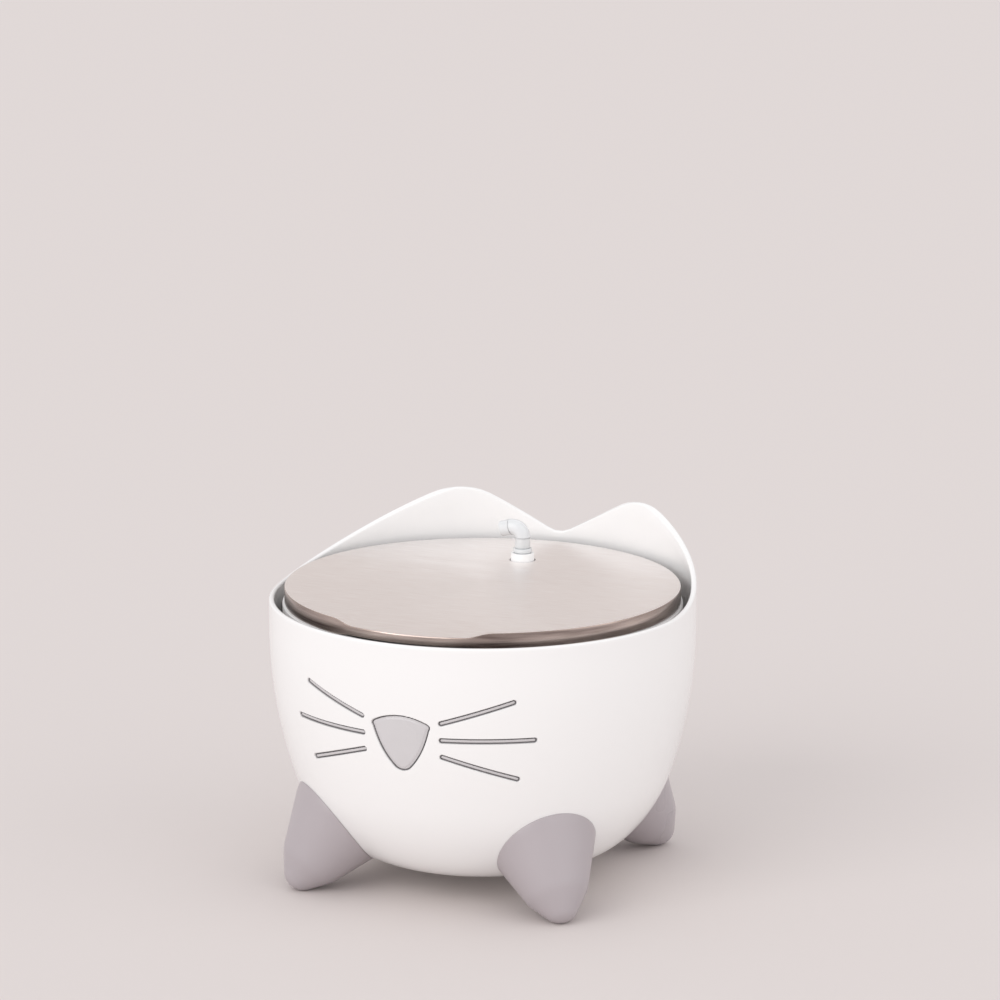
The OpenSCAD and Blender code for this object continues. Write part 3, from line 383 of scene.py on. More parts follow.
LEAD_OUT = [(0, 103, 44), (0, 107, 44), (-1, 114, 38), (-4, 118, 24), (-9, 120, 10),
            (-14, 123, 3), (-20, 128.5, 2.3), (-29, 138.1, 2.3), (-34, 142.6, 2.3)]
TAIL = [(-54.3, 115.5, 10.3), (-51.3, 115, 11.5), (-47.4, 114.6, 12.1), (-41, 116, 12.2),
        (-35.5, 119.5, 12.2), (-30.5, 125, 11.6), (-27.5, 130.3, 9.2), (-26, 133.8, 7.6), (-24, 138.5, 5.6),
        (-20.5, 146.5, 3.7), (-17.4, 153, 3.2), (-16.8, 157.4, 3.3), (-17.4, 160.3, 3.4),
        (-19, 162.8, 3.6), (-21.5, 164.4, 3.8), (-24.4, 165, 4), (-26.9, 165, 4)]
turns = winding()
path = smooth(LEAD_OUT + turns[:1], 5)[:-1] + turns[:-1] + smooth(turns[-1:] + TAIL, 5)
supply = lead("supply_lead", path, ["cord", "cord_coil"])

BAY_LEAD = [(-18, 76.3, 112), (-18, 80, 111), (-16, 82, 100), (-10, 82, 76), (-4, 80, 56),
            (0, 80, 46), (0, 83, 44)]
lead("bay_lead_smooth", smooth(BAY_LEAD, 8), ["bay_lead"])

INNER = [(-30.5, 34.5, 58), (-34, 31, 58), (-39, 27, 57), (-43, 28, 52), (-41, 34, 47),
         (-36, 44, 46), (-31, 54, 50), (-26, 62, 60), (-22, 66, 78), (-19, 66, 98),
         (-18, 67, 109), (-18, 69, 112), (-18, 71.2, 112)]
inner_verts, inner_faces = pipe(smooth(INNER, 8), LEAD / 2, 16)
inner = bpy.data.objects.new("inner_lead_smooth", bpy.data.meshes.new("inner_lead_smooth"))
inner.data.from_pydata([tuple(float(c) * MM for c in v) for v in inner_verts], [], inner_faces)
inner.data.shade_smooth()
inner.data.materials.append(M["cable"])
scene.collection.objects.link(inner)
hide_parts("inner_lead")
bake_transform(inner)

# The strap's place round the coil, width, thickness, gap to the turns, corner and softened edge
TIE_A, TIE_W, TIE_T, TIE_GAP, TIE_R, TIE_EDGE = math.radians(200), 7.0, 0.6, 0.1, 1.9, 0.3
COIL_OUT, COIL_TOP = COIL_IN + ACROSS * LEAD, COIL_Z + LAYERS * LEAD


def strap():
    """The strap that holds the coil, a rounded loop round its section."""
    grow, loop = TIE_GAP + TIE_T / 2, []
    x0, x1 = COIL_IN - grow + TIE_R, COIL_OUT + grow - TIE_R
    z0, z1 = COIL_Z - grow + TIE_R, COIL_TOP + grow - TIE_R
    for cx, cz, a in ((x1, z1, 0), (x0, z1, 90), (x0, z0, 180), (x1, z0, 270)):
        loop += arc(cx, cz, TIE_R, a, a + 90, 6)
    pts = np.array([(COIL[0] + math.cos(TIE_A) * x, COIL[1] + math.sin(TIE_A) * x, z) for x, z in loop])
    w, t, flat = TIE_W / 2, TIE_T / 2, TIE_W / 2 - TIE_EDGE
    half = [(-w, -t * 0.5), (-flat, -t), (flat, -t), (w, -t * 0.5)]
    section = half + [(-a, -b) for a, b in half]
    side = np.array([-math.sin(TIE_A), math.cos(TIE_A), 0])
    verts, n = [], len(pts)
    for i in range(n):
        h = pts[(i + 1) % n] - pts[i - 1]
        u = np.cross(h / np.linalg.norm(h), side)
        verts += [pts[i] + side * a + u * b for a, b in section]
    return verts, grid_faces(n, len(section), True, True)


tie = add("coil_tie_strap", *strap(), M["strap"], "base", ["coil_tie"], "tie_strap")

# ---------------------------------------------------------------- bowl
# The outline is three arcs that run into each other, heel, flank and side. The angles are those
# below level at which flank and side start
BOWL_R, WALL, RIM_Z, BASE_Z = 103.5, 2.6, 137.3, 11.0
SIDE_R, FLANK_R, HEEL_R = 233.0, 75.0, 42.0
SIDE_A, FLANK_A = 17.85, 43.0
HEEL_Z = BASE_Z + HEEL_R * (1 - math.sin(math.radians(FLANK_A)))
FLANK_Z = HEEL_Z + FLANK_R * (math.sin(math.radians(FLANK_A)) - math.sin(math.radians(SIDE_A)))
SIDE_Z = FLANK_Z + SIDE_R * math.sin(math.radians(SIDE_A))
SIDE_CX = BOWL_R - SIDE_R
FLANK_CX = SIDE_CX + (SIDE_R - FLANK_R) * math.cos(math.radians(SIDE_A))
HEEL_CX = FLANK_CX + (FLANK_R - HEEL_R) * math.cos(math.radians(FLANK_A))
FLANK_CZ = FLANK_Z + FLANK_R * math.sin(math.radians(SIDE_A))
HEEL_CZ = HEEL_Z + HEEL_R * math.sin(math.radians(FLANK_A))
# Above this height the shell's rows follow the rim
BAND_Z = 120.0


def bowl_profile(w, steps):
    """The bowl's outline from the middle of its underside up to BAND_Z, moved in by w."""
    low = [(r, BASE_Z + w) for r in np.linspace(0, HEEL_CX, 8)]
    pts = low + arc(HEEL_CX, HEEL_CZ, HEEL_R - w, -90, -FLANK_A, steps[0])[1:]
    pts += arc(FLANK_CX, FLANK_CZ, FLANK_R - w, -FLANK_A, -SIDE_A, steps[1])[1:]
    top = -math.degrees(math.asin((SIDE_Z - BAND_Z) / (SIDE_R - w)))
    return pts + arc(SIDE_CX, SIDE_Z, SIDE_R - w, -SIDE_A, top, steps[2])[1:]


def bowl_r(z, w=0.0):
    """Radius of the bowl's outer surface, moved in by w, at height z."""
    z = np.asarray(z, float)
    side = SIDE_CX + np.sqrt(np.maximum((SIDE_R - w) ** 2 - (SIDE_Z - z) ** 2, 0))
    flank = FLANK_CX + np.sqrt(np.maximum((FLANK_R - w) ** 2 - (FLANK_CZ - z) ** 2, 0))
    heel = HEEL_CX + np.sqrt(np.maximum((HEEL_R - w) ** 2 - (HEEL_CZ - z) ** 2, 0))
    r = np.where(z > FLANK_Z, side, np.where(z > HEEL_Z, flank, heel))
    return np.where(z > SIDE_Z, BOWL_R - w, r)


# Ears and dip: place across, tip height and rounding, the dip's lowest point and rounding
EAR_X, EAR_TOP, EAR_ROUND, DIP_Z, DIP_ROUND = 50.0, 168.4, 31.0, 147.0, 12.0
# Slope between ear and dip, and how far across the ears go before the sweep is all there is
EAR_SLOPE, EAR_END = math.radians(28.7), 60.0
# The sides sweep up on this radius from this far in front of the middle, over this length
SWEEP_R, SWEEP_START, SWEEP_L = 199.0, 20.0, 190.0


def rim_height(x, y):
    """Height of the rim over the point: level front, swept sides, two ears with a dip between."""
    x, y = np.abs(x), np.asarray(y, float)
    sweep_y = np.clip(y + SWEEP_START, 0, SWEEP_L)
    sweep_z = RIM_Z + SWEEP_R - np.sqrt(SWEEP_R ** 2 - sweep_y ** 2)
    dip_end = DIP_ROUND * math.sin(EAR_SLOPE)
    ear_start = EAR_X - EAR_ROUND * math.sin(EAR_SLOPE)
    dip = DIP_Z + DIP_ROUND - np.sqrt(np.maximum(DIP_ROUND ** 2 - np.minimum(x, dip_end) ** 2, 0))
    off = np.clip(x, ear_start, EAR_END) - EAR_X
    ear = EAR_TOP - EAR_ROUND + np.sqrt(np.maximum(EAR_ROUND ** 2 - off ** 2, 0))
    t = np.clip((x - dip_end) / (ear_start - dip_end), 0, 1)
    z0 = DIP_Z + DIP_ROUND * (1 - math.cos(EAR_SLOPE))
    z1 = EAR_TOP - EAR_ROUND * (1 - math.cos(EAR_SLOPE))
    outline = np.where(x < dip_end, dip, np.where(x < ear_start, z0 + t * (z1 - z0), ear))
    at_ears = (y > 0) & (x < EAR_END)
    return np.where(at_ears, np.minimum(sweep_z, outline), sweep_z)


# The nose's half width, lowest point and height, and the whiskers' thickness
NOSE_W, NOSE_Z, NOSE_H, WHISKER = 14.5, 75.5, 27.8, 2.6
# Each whisker's inner end and outer end: degrees from the front, height
WHISKERS = [(10.6, 100.3, 31, 111.7), (10.6, 92.3, 36.8, 92.3), (10.7, 84.3, 32.5, 72.5)]


def bezier(a, b, c, n):
    """Points of a curve from a to c that leaves and ends towards b."""
    a, b, c = (np.array(p, float) for p in (a, b, c))
    return [(1 - t) ** 2 * a + 2 * t * (1 - t) * b + t * t * c for t in np.linspace(0, 1, n + 1)]


def nose_outline():
    """Closed outline of the nose, flat at the top and rounded to a tip."""
    w, h = NOSE_W, NOSE_H
    brow, corner, tip = (w * 0.86, h - 2.8), (w, h - 6.8), (4.1, 1.5)
    half = bezier((0, h), (w * 0.45, h), brow, 8) + bezier(brow, (w * 1.12, h - 4.3), corner, 8)[1:]
    half += bezier(corner, (w * 0.78, 8.5), tip, 10)[1:] + bezier(tip, (2.4, 0), (0, 0), 6)[1:]
    other = [(-x, z) for x, z in half[-2:0:-1]]
    return np.array(half + other) + (0, NOSE_Z)


def inside_by(px, pz, outline):
    """How far each point lies inside a closed outline, less than 0 outside."""
    best = np.full(px.shape, np.inf)
    odd = np.zeros(px.shape, bool)
    for (ax, az), (bx, bz) in zip(outline, np.roll(outline, -1, 0)):
        dx, dz = bx - ax, bz - az
        t = np.clip(((px - ax) * dx + (pz - az) * dz) / (dx * dx + dz * dz), 0, 1)
        best = np.minimum(best, np.hypot(px - ax - t * dx, pz - az - t * dz))
        if dz:
            odd ^= ((az > pz) != (bz > pz)) & (px < dx * (pz - az) / dz + ax)
    return np.where(odd, best, -best)


def face_depth(theta, z):
    """How far a point of the front lies inside the nose or a whisker."""
    # The shapes are pushed through flat, so their place across is measured on a flat face
    best = inside_by(BOWL_R * np.sin(theta), z, nose_outline())
    for s in (-1, 1):
        for a0, z0, a1, z1 in WHISKERS:
            mid, zm = math.radians(s * (a0 + a1) / 2), (z0 + z1) / 2
            across = 2 * BOWL_R * math.sin(math.radians(a1 - a0) / 2)
            long, tilt = math.hypot(across, z1 - z0) - WHISKER, s * math.atan2(z1 - z0, across)
            u, v = BOWL_R * np.sin(theta - mid), z - zm
            along = u * math.cos(tilt) + v * math.sin(tilt)
            up = v * math.cos(tilt) - u * math.sin(tilt)
            d = WHISKER / 2 - np.hypot(along - np.clip(along, -long / 2, long / 2), up)
            best = np.maximum(best, d)
    return best


def spread(zones, coarse, lo, hi):
    """Stations from lo to hi, coarse but for zones (start, end, fine)."""
    out, at = [], lo
    for a, b, fine in sorted(zones):
        out += list(np.linspace(at, a, max(int(math.ceil((a - at) / coarse)), 1) + 1)[:-1])
        out += list(np.linspace(a, b, int(round((b - a) / fine)) + 1)[:-1])
        at = b
    return out + list(np.linspace(at, hi, max(int(math.ceil((hi - at) / coarse)), 1) + 1))


# Nose and whiskers lie within these degrees from the front and between these heights
FACE_A, FACE_LOW, FACE_HIGH = 38.0, 70.0, 115.0
# Half width, heights and depth of the rear cover's opening, and its half angle at the widest
COVER_X, COVER_LOW, COVER_HIGH, COVER_IN = 31.95, 36.15, 117.85, 2.35
COVER_A = math.degrees(math.asin(COVER_X / BOWL_R))
# Columns of the bowl in degrees, 0 at the front and 90 at +X, close together over the face
# and at the two upright edges of the rear cover's opening
COVER_EDGES = [(180 + s * COVER_A - 0.05, 180 + s * COVER_A + 0.05, 0.1) for s in (-1, 1)]
angles = spread([(-FACE_A, FACE_A, 0.2)] + COVER_EDGES, 2.4, -90, 270)[:-1]
theta = np.radians(angles)
# Below this height the outer face's rows are the outline's own points
ROWS_Z = 34.9
# From LEAD_Z up, and fully after LEAD_IN, columns within LEAD_NEAR of the opening's edges follow
# them, the far ones less over LEAD_FADE
LEAD_Z, LEAD_IN, LEAD_NEAR, LEAD_FADE = 28.0, 7.0, math.radians(14), math.radians(10)


def columns_at(r, z):
    """Angles of the columns at a height, led along the upright edges of the rear cover's opening."""
    if z < LEAD_Z:
        return theta
    off = theta - math.pi
    lead_over = math.asin(COVER_X / r) - math.radians(COVER_A)
    from_edge = np.abs(np.abs(off) - math.radians(COVER_A))
    near = np.clip((LEAD_NEAR - from_edge) / LEAD_FADE, 0, 1)
    return theta + np.sign(off) * lead_over * near * min((z - LEAD_Z) / LEAD_IN, 1)


def outer_rows():
    """Radius and height of each row of the outer face, close together at the edges it has to show."""
    low = [p for p in bowl_profile(0, (12, 12, 40)) if p[1] < ROWS_Z]
    zs = spread([(35, 37, 0.4), (FACE_LOW, FACE_HIGH, 0.36), (117, 119, 0.4)], 2.5, ROWS_Z, BAND_Z)
    return low + [(float(bowl_r(z)), z) for z in zs]


# Depth of the slots, width of their sloped edge, and how far outside the outline it starts
SLOT_DEPTH, SLOT_EDGE, SLOT_LEAD = 1.35, 0.42, 0.12
# Rounding of the rim's two edges, and rows between BAND_Z and the rounding outside and inside
RIM_ROUND, RIM_STEPS, RIM_STEPS_IN = 1.05, 14, 7
# Stands for a place that isn't in the nose or a whisker
NO_FACE = -9.0


def bowl_mesh():
    """Points and faces of the shell, and how far each point of its rows lies in a slot."""
    rows = outer_rows()
    n = len(theta)
    sx, sy = np.sin(theta), -np.cos(theta)
    columns = []
    face_d = []
    top = rim_height(BOWL_R * sx, BOWL_R * sy)
    top_in = rim_height((BOWL_R - WALL) * sx, (BOWL_R - WALL) * sy)
    behind = np.abs(theta - math.pi) < math.radians(COVER_A)

    def ring(r, z):
        columns.append(np.stack([r * sx, r * sy, z], 1))

    for r, z in rows:
        at = columns_at(r, z)
        d = np.full(n, NO_FACE)
        if FACE_LOW < z < FACE_HIGH:
            d[sy < 0] = face_depth(theta[sy < 0], np.full(int(np.sum(sy < 0)), z))
        push = SLOT_DEPTH * ease((d + SLOT_LEAD) / SLOT_EDGE)
        push = np.where(behind & (COVER_LOW < z < COVER_HIGH), COVER_IN, push)
        columns.append(np.stack([(r - push) * np.sin(at), -(r - push) * np.cos(at), np.full(n, z)], 1))
        face_d.append(d)
    for k in range(1, RIM_STEPS + 1):
        z = BAND_Z + (top - RIM_ROUND - BAND_Z) * k / RIM_STEPS
        ring(bowl_r(z), z)
    for a in np.radians((22, 45, 68, 90)):
        ring(BOWL_R - RIM_ROUND * (1 - math.cos(a)), top - RIM_ROUND * (1 - math.sin(a)))
    inner = BOWL_R - WALL
    for a in np.radians((90, 68, 45, 22, 0)):
        ring(inner + RIM_ROUND * (1 - math.cos(a)), top_in - RIM_ROUND * (1 - math.sin(a)))
    for k in range(1, RIM_STEPS_IN + 1):
        ring(inner, top_in - RIM_ROUND + (BAND_Z - top_in + RIM_ROUND) * k / RIM_STEPS_IN)
    for r, z in bowl_profile(WALL, (8, 8, 16))[::-1][1:]:
        ring(r, np.full(n, z))
    grid = np.stack(columns, 1)
    return grid.reshape(-1, 3), grid_faces(n, grid.shape[1], True), np.stack(face_d, 1)


def loft(sections):
    """Points and faces over closed loops of the same number of points, closed at both ends."""
    m, last = len(sections[0]), len(sections) - 1
    verts = [p for s in sections for p in s]
    ends = [list(range(m)), list(range(last * m, last * m + m))]
    return verts, grid_faces(len(sections), m, False, True) + ends


# Ribs that carry the tray: places in degrees, reach, thickness and lower end; height of the seat
RIBS = (59.3, 120.7, 239.3, 300.7)
RIB_IN, RIB_T, RIB_LOW, SEAT_Z = 10.5, 2.4, 62.0, 126.0
# The cord bay's half width and front wall, and how far ribs and bay run into the shell
BAY_X, BAY_Y, BAY_ROUND = 34.0, 73.0, 1.2
EMBED = 1.0


def ribs():
    """The four ribs, with a rounded foot, top and inner edge."""
    parts = []
    for a in RIBS:
        t, sections = math.radians(a), []
        for z, inset in ((RIB_LOW, 0.5), (RIB_LOW + 0.5, 0), (90.0, 0), (SEAT_Z - 0.5, 0), (SEAT_Z, 0.4)):
            r1 = float(bowl_r(z)) - WALL + EMBED
            r0, h = BOWL_R - RIB_IN + inset, RIB_T / 2 - inset * 0.6
            r0 = min(r0, r1 - 0.2)
            loop = [(r1, h), (r0 + 0.6, h), (r0, h - 0.5), (r0, -h + 0.5), (r0 + 0.6, -h), (r1, -h)]
            sections.append([(-math.sin(t) * r - math.cos(t) * s, math.cos(t) * r - math.sin(t) * s, z)
                             for r, s in loop])
        parts.append(loft(sections))
    return parts


def bay():
    """Walls of the cord bay up to the seat, rounded at the front corners and the top."""
    sections = []
    floor_z = float(next(z for z in np.linspace(BASE_Z, 60, 400) if bowl_r(z, WALL) > BAY_Y - EMBED))
    heights = [(z, 0.0) for z in np.linspace(floor_z + 0.2, 44, 12)]
    heights += [(z, 0.0) for z in np.linspace(50, SEAT_Z - 0.6, 14)] + [(SEAT_Z - 0.2, 0.15), (SEAT_Z, 0.6)]
    for z, inset in heights:
        r = float(bowl_r(z, WALL)) + EMBED
        w = min(BAY_X - inset, math.sqrt(max(r * r - (BAY_Y + inset) ** 2, 0.01)))
        y0 = BAY_Y + inset
        side_y = math.sqrt(max(r * r - w * w, y0 * y0))
        c = min(BAY_ROUND, w / 3, max(side_y - y0, 0.001))
        loop = [(w, side_y), (w, (side_y + y0 + c) / 2), (w, y0 + c)]
        loop += [(w - c + c * math.cos(t), y0 + c - c * math.sin(t)) for t in np.radians((22, 45, 68))]
        loop += [(x, y0) for x in np.linspace(w - c, -w + c, 9)]
        loop += [(-w + c - c * math.sin(t), y0 + c - c * math.cos(t)) for t in np.radians((22, 45, 68))]
        loop += [(-w, y0 + c), (-w, (side_y + y0 + c) / 2), (-w, side_y)]
        loop += [(x, math.sqrt(max(r * r - x * x, 0))) for x in np.linspace(-w, w, 13)[1:-1]]
        sections.append([(x, y, z) for x, y in loop])
    return loft(sections)


*shell, face_d = bowl_mesh()
bowl = add("bowl_smooth", *join([shell] + ribs() + [bay()]), M["bowl"], "base",
           ["bowl", "rim_left", "rim_right", "tray_ribs", "cord_duct"], "bowl_plastic", sharp=40)


def mark_depth(o):
    """Stores how far each point of the front lies in the nose or a whisker, plus 1; 0 is elsewhere."""
    p = np.array([v.co for v in o.data.vertices]) / MM
    outside = np.hypot(p[:, 0], p[:, 1]) > bowl_r(p[:, 2]) - WALL + 0.3
    front = outside & (p[:, 1] < 0) & (p[:, 2] > FACE_LOW) & (p[:, 2] < FACE_HIGH)
    depth = np.full(len(p), -1.0)
    depth[front] = face_depth(np.arctan2(p[front, 0], -p[front, 1]), p[front, 2])
    stored = o.data.attributes.new("face_depth", "FLOAT", "POINT")
    stored.data.foreach_set("value", np.maximum(depth + 1, 0))


# Painted shade: the slots' walls are painted grey from their edge in, and the insert is painted darker at
# its edge
mark_depth(bowl)
paint_shade_by(M["bowl"], "face_depth", 0.88, 1.2, srgb(128, 124, 126))


# The insert ends this far inside its slot, and is this thick
LENS_IN, LENS_T = 0.3, 0.06


def face_lens():
    """Frosted nose and whiskers that stand in the slots of the front, a little under its surface."""
    cols = [i for i, a in enumerate(angles) if -FACE_A <= a <= FACE_A]
    rows = outer_rows()
    js = [j for j, (r, z) in enumerate(rows) if FACE_LOW < z < FACE_HIGH]
    verts, faces, index = [], [], {}

    def part(d, start, length):
        return min(max((d - start) / length, 0), 1)

    def point(i, j):
        if (i, j) not in index:
            r, z = rows[j]
            d = float(face_d[i, j])
            # The edge is rounded, and the nose has a raised middle inside a bevel
            sunk = 1.28 - 0.5 * part(d, 0.35, 0.55) ** 0.6
            sunk -= 0.36 * part(d, 1.45, 0.5) + 0.06 * part(d, 2, 4)
            index[i, j] = len(verts)
            verts.append(((r - sunk) * math.sin(theta[i]), -(r - sunk) * math.cos(theta[i]), z))
        return index[i, j]

    for i in cols[:-1]:
        for j in js[:-1]:
            if face_d[i:i + 2, j:j + 2].min() > LENS_IN:
                faces.append([point(i, j), point(i + 1, j), point(i + 1, j + 1), point(i, j + 1)])
    return verts, faces


lens = add("face_lens", *face_lens(), M["face"], "base", ["face_window"], "face_clear", sharp=60)
mark_depth(lens)
# Painted shade: the insert is painted darker towards its edge, where it meets the slot's wall
paint_shade_by(M["face"], "face_depth", 1.85, 1.4, srgb(150, 147, 149))
thick = lens.modifiers.new("thick", "SOLIDIFY")
thick.thickness, thick.offset = LENS_T * MM, -1

# ---------------------------------------------------------------- feet
# A foot is three balls on one axis, toe, middle and ankle: radii, and places along the axis
TOE_R, FOOT_MID_R, ANKLE_R, FOOT_MID_L, FOOT_L = 9.17, 17.0, 27.3, 12.71, 39.35
# The toe's place, the axis' lean, the gap to the bowl, and the edge's rounding
TOE_IN, TOE_Z, LEAN, FOOT_GAP, FOOT_EDGE = 9.56, 8.72, 39.5, 0.1, 0.25


def foot_outline():
    """Half outline of a foot about its own axis, from the toe up past the ankle."""
    a1 = math.degrees(math.asin((FOOT_MID_R - TOE_R) / FOOT_MID_L))
    a2 = math.degrees(math.asin((ANKLE_R - FOOT_MID_R) / (FOOT_L - FOOT_MID_L)))
    pts = arc(0, 0, TOE_R, -90, -a1, 24) + arc(0, FOOT_MID_L, FOOT_MID_R, -a1, -a2, 12)[1:]
    return np.array(pts + arc(0, FOOT_L, ANKLE_R, -a2, 60, 60)[1:])


def foot(angle):
    """Smooth foot at an angle from the front, whose upper edge follows the bowl's surface."""
    turn, lean = math.radians(angle), math.radians(LEAN)
    axis = np.array([0, math.sin(lean), math.cos(lean)])
    across = np.array([0, math.cos(lean), -math.sin(lean)])
    line = foot_outline()
    run = np.concatenate([[0], np.cumsum(np.hypot(*np.diff(line, axis=0).T))])

    def place(r, h, phi):
        p = np.array([0, TOE_IN - BOWL_R, TOE_Z]) + h * axis
        return p + r * (math.cos(phi) * np.array([1, 0, 0]) + math.sin(phi) * across)

    def in_bowl(p):
        return p[2] > BASE_Z - FOOT_GAP and math.hypot(p[0], p[1]) < float(bowl_r(p[2], -FOOT_GAP))

    def first_in(point, far):
        """Where a point that moves from 0 to far first enters the bowl."""
        stride = far / 80
        lo = next((k * stride for k in range(80) if in_bowl(point((k + 1) * stride))), far)
        hi = lo + stride
        for _ in range(18):
            mid = (lo + hi) / 2
            lo, hi = (lo, mid) if in_bowl(point(mid)) else (mid, hi)
        return lo

    def along(s, phi):
        return np.interp(s, run, line[:, 0]), np.interp(s, run, line[:, 1])

    columns, count = [], 96
    for k in range(count):
        phi = 2 * math.pi * k / count
        end = first_in(lambda s: place(*along(s, phi), phi), run[-1])
        col = [place(*along(s, phi), phi) for s in np.linspace(0, end - FOOT_EDGE, 56)]
        r, h = along(end - 0.08, phi)
        col.append(place(r - 0.07, h, phi))
        # The face against the bowl, from the edge in
        for share in (0.985, 0.8, 0.5, 0.2, 0.02):
            r1 = along(end, phi)[0] * share
            col.append(place(r1, first_in(lambda h: place(r1, h, phi), 60), phi))
        columns += [(p[0], p[1], max(p[2], 0)) for p in col]
    m = len(columns) // count
    ends = [[i * m for i in range(count)], [i * m + m - 1 for i in range(count)]]
    faces = grid_faces(count, m, True) + ends
    c, s = math.cos(turn), math.sin(turn)
    return [(x * c - y * s, x * s + y * c, z) for x, y, z in columns], faces


FEET = {"front_left": -45, "front_right": 45, "back_left": -135, "back_right": 135}
for corner, angle in FEET.items():
    add(f"foot_{corner}_smooth", *foot(angle), M["foot"], "base", [f"foot_{corner}"], "foot_plastic", 50)

# ---------------------------------------------------------------- rounded copies of moulded parts
# Edges between faces that turn less than FLAT_A are dissolved; those over CORNER_A are rounded
FLAT_A, CORNER_A = math.radians(0.7), math.radians(32)


def refine(name, width):
    """The node's solid with its corners rounded, as the moulded piece has them."""
    src = frame["nodes"][name]
    me = bpy.data.meshes.new(name + "_moulded")
    bm = bmesh.new()
    bm.from_mesh(src.data)
    bmesh.ops.remove_doubles(bm, verts=bm.verts, dist=SAME_POINT)
    bmesh.ops.dissolve_limit(bm, angle_limit=FLAT_A, verts=bm.verts, edges=bm.edges)
    bmesh.ops.recalc_face_normals(bm, faces=bm.faces)
    bm.to_mesh(me)
    bm.free()
    me.shade_smooth()
    me.materials.append(src.data.materials[0])
    o = bpy.data.objects.new(name + "_moulded", me)
    scene.collection.objects.link(o)
    bev = o.modifiers.new("round", "BEVEL")
    bev.width, bev.segments = width * MM, 2
    bev.limit_method, bev.angle_limit = "ANGLE", CORNER_A
    bev.use_clamp_overlap = False
    bev.harden_normals = True
    bev.miter_outer = "MITER_ARC"
    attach(o, src["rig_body"])
    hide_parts(name)


ROUNDED = {
    "tray": 0.45, "tray_well": 0.5, "ring_lugs": 0.25, "riser_dome": 0.35, "pull_ring": 0.5,
    "pump_housing": 0.45, "pump_cover": 0.35, "pump_gland": 0.4, "flow_dial": 0.4, "spout_plug": 0.25,
    "spout": 0.22, "riser_tube": 0.3, "usb_body": 0.25, "usb_shell": 0.12, "rear_cover": 0.3,
    "pump_dock": 0.6, "filter_shell": 0.2, "suction_cups": 0.2, "cord_grommet": 0.3,
    "outlet_bush": 0.3, "impeller": 0.15, "cover_screws": 0.15,
}
for name, width in ROUNDED.items():
    refine(name, width)

# ---------------------------------------------------------------- steel plate
# Radius, lower edge, top and sheet thickness; where the level middle ends; the hole and its place
PLATE_R, PLATE_LOW, PLATE_TOP, PLATE_T, LEVEL_R = 96.0, 135.3, 143.3, 0.8, 90.0
RISER_Y, PLATE_HOLE = 52.0, 13.0
# The lip: half angle and its fade, its fall at the top, at the rim's middle and at its lower edge
LIP_A, LIP_FADE, LIP_DROP, LIP_MID, LIP_LOW = 17.0, 8.0, 2.3, 0.6, -0.9
# The fall starts at this radius and grows over this length
LIP_IN, LIP_L = 83.0, 13.5
# Radius of the bend outside and inside, height of the rim's middle row, and the lower edge's chamfer
BEND_R, BEND_IN_R, RIM_MID, EDGE_H = 1.2, 0.5, 138.5, 0.35


def plate():
    """Pressed sheet: level top, rounded edge, turned-down rim, and a lip at the front for the water."""
    n, columns = 288, 14
    th = np.radians(np.linspace(-180, 180, n + 1)[:-1])
    sx, sy = np.sin(th), -np.cos(th)
    lip = 1 - ease((np.abs(np.degrees(th)) - LIP_A) / LIP_FADE)
    rings = []

    def ring(r, z, drop):
        rings.append(np.stack([r * sx, r * sy, z - drop * lip], 1))

    def drop_at(r):
        return LIP_DROP * float(ease((r - LIP_IN) / LIP_L))

    for r in (LEVEL_R, 92, 93.5, 94.8):
        ring(r, PLATE_TOP, drop_at(r))
    for x, z in arc(PLATE_R - BEND_R, PLATE_TOP - BEND_R, BEND_R, 78, 0, 6):
        ring(x, z, drop_at(PLATE_R))
    ring(PLATE_R, RIM_MID, LIP_MID)
    for inset, rise in ((0, EDGE_H), (0.12, 0.08), (0.4, 0), (PLATE_T - 0.1, 0.08), (PLATE_T, EDGE_H)):
        ring(PLATE_R - inset, PLATE_LOW + rise, LIP_LOW)
    ring(PLATE_R - PLATE_T, RIM_MID, LIP_MID)
    turn = PLATE_T + BEND_IN_R
    for x, z in arc(PLATE_R - turn, PLATE_TOP - turn, BEND_IN_R, 0, 80, 3):
        ring(x, z, drop_at(PLATE_R))
    for r in (93.5, 92, LEVEL_R):
        ring(r, PLATE_TOP - PLATE_T, drop_at(r))
    parts = [(np.stack(rings, 1).reshape(-1, 3), grid_faces(n, len(rings), True))]
    # The level middle, from the rim's first ring in to the hole, above and below
    outside = np.stack([LEVEL_R * sx, LEVEL_R * sy], 1)
    hole = np.stack([PLATE_HOLE / 2 * sx, RISER_Y + PLATE_HOLE / 2 * sy], 1)
    for z0 in (PLATE_TOP, PLATE_TOP - PLATE_T):
        middle = []
        for start, end, low in zip(outside, hole, lip):
            for f in np.linspace(0, 1, columns):
                x, y = start + (end - start) * f ** 0.8
                middle.append((x, y, z0 - drop_at(math.hypot(x, y)) * low))
        parts.append((middle, grid_faces(n, columns, True)))
    wall = [(x, y, PLATE_TOP - PLATE_T * f) for x, y in hole for f in (0, 0.5, 1)]
    parts.append((wall, grid_faces(n, 3, True)))
    return join(parts)


def brushed(name, low, high, rough, streak, stretch):
    """Stainless steel with fine lines along the axis that stretch keeps short, in colours from low to high;
    on the rim the dark low is also painted reflection.
    """
    return material(name, high, rough, metallic=1.0, bump=0.015, grain=60, dark=low, aniso=0.55,
                    rough_vary=0.05, stretch=stretch, blotch=streak)


STEEL_TOP = brushed("steel_brushed", srgb(240, 235, 233), srgb(252, 250, 249), 0.36, 3, (1.2, 40, 40))
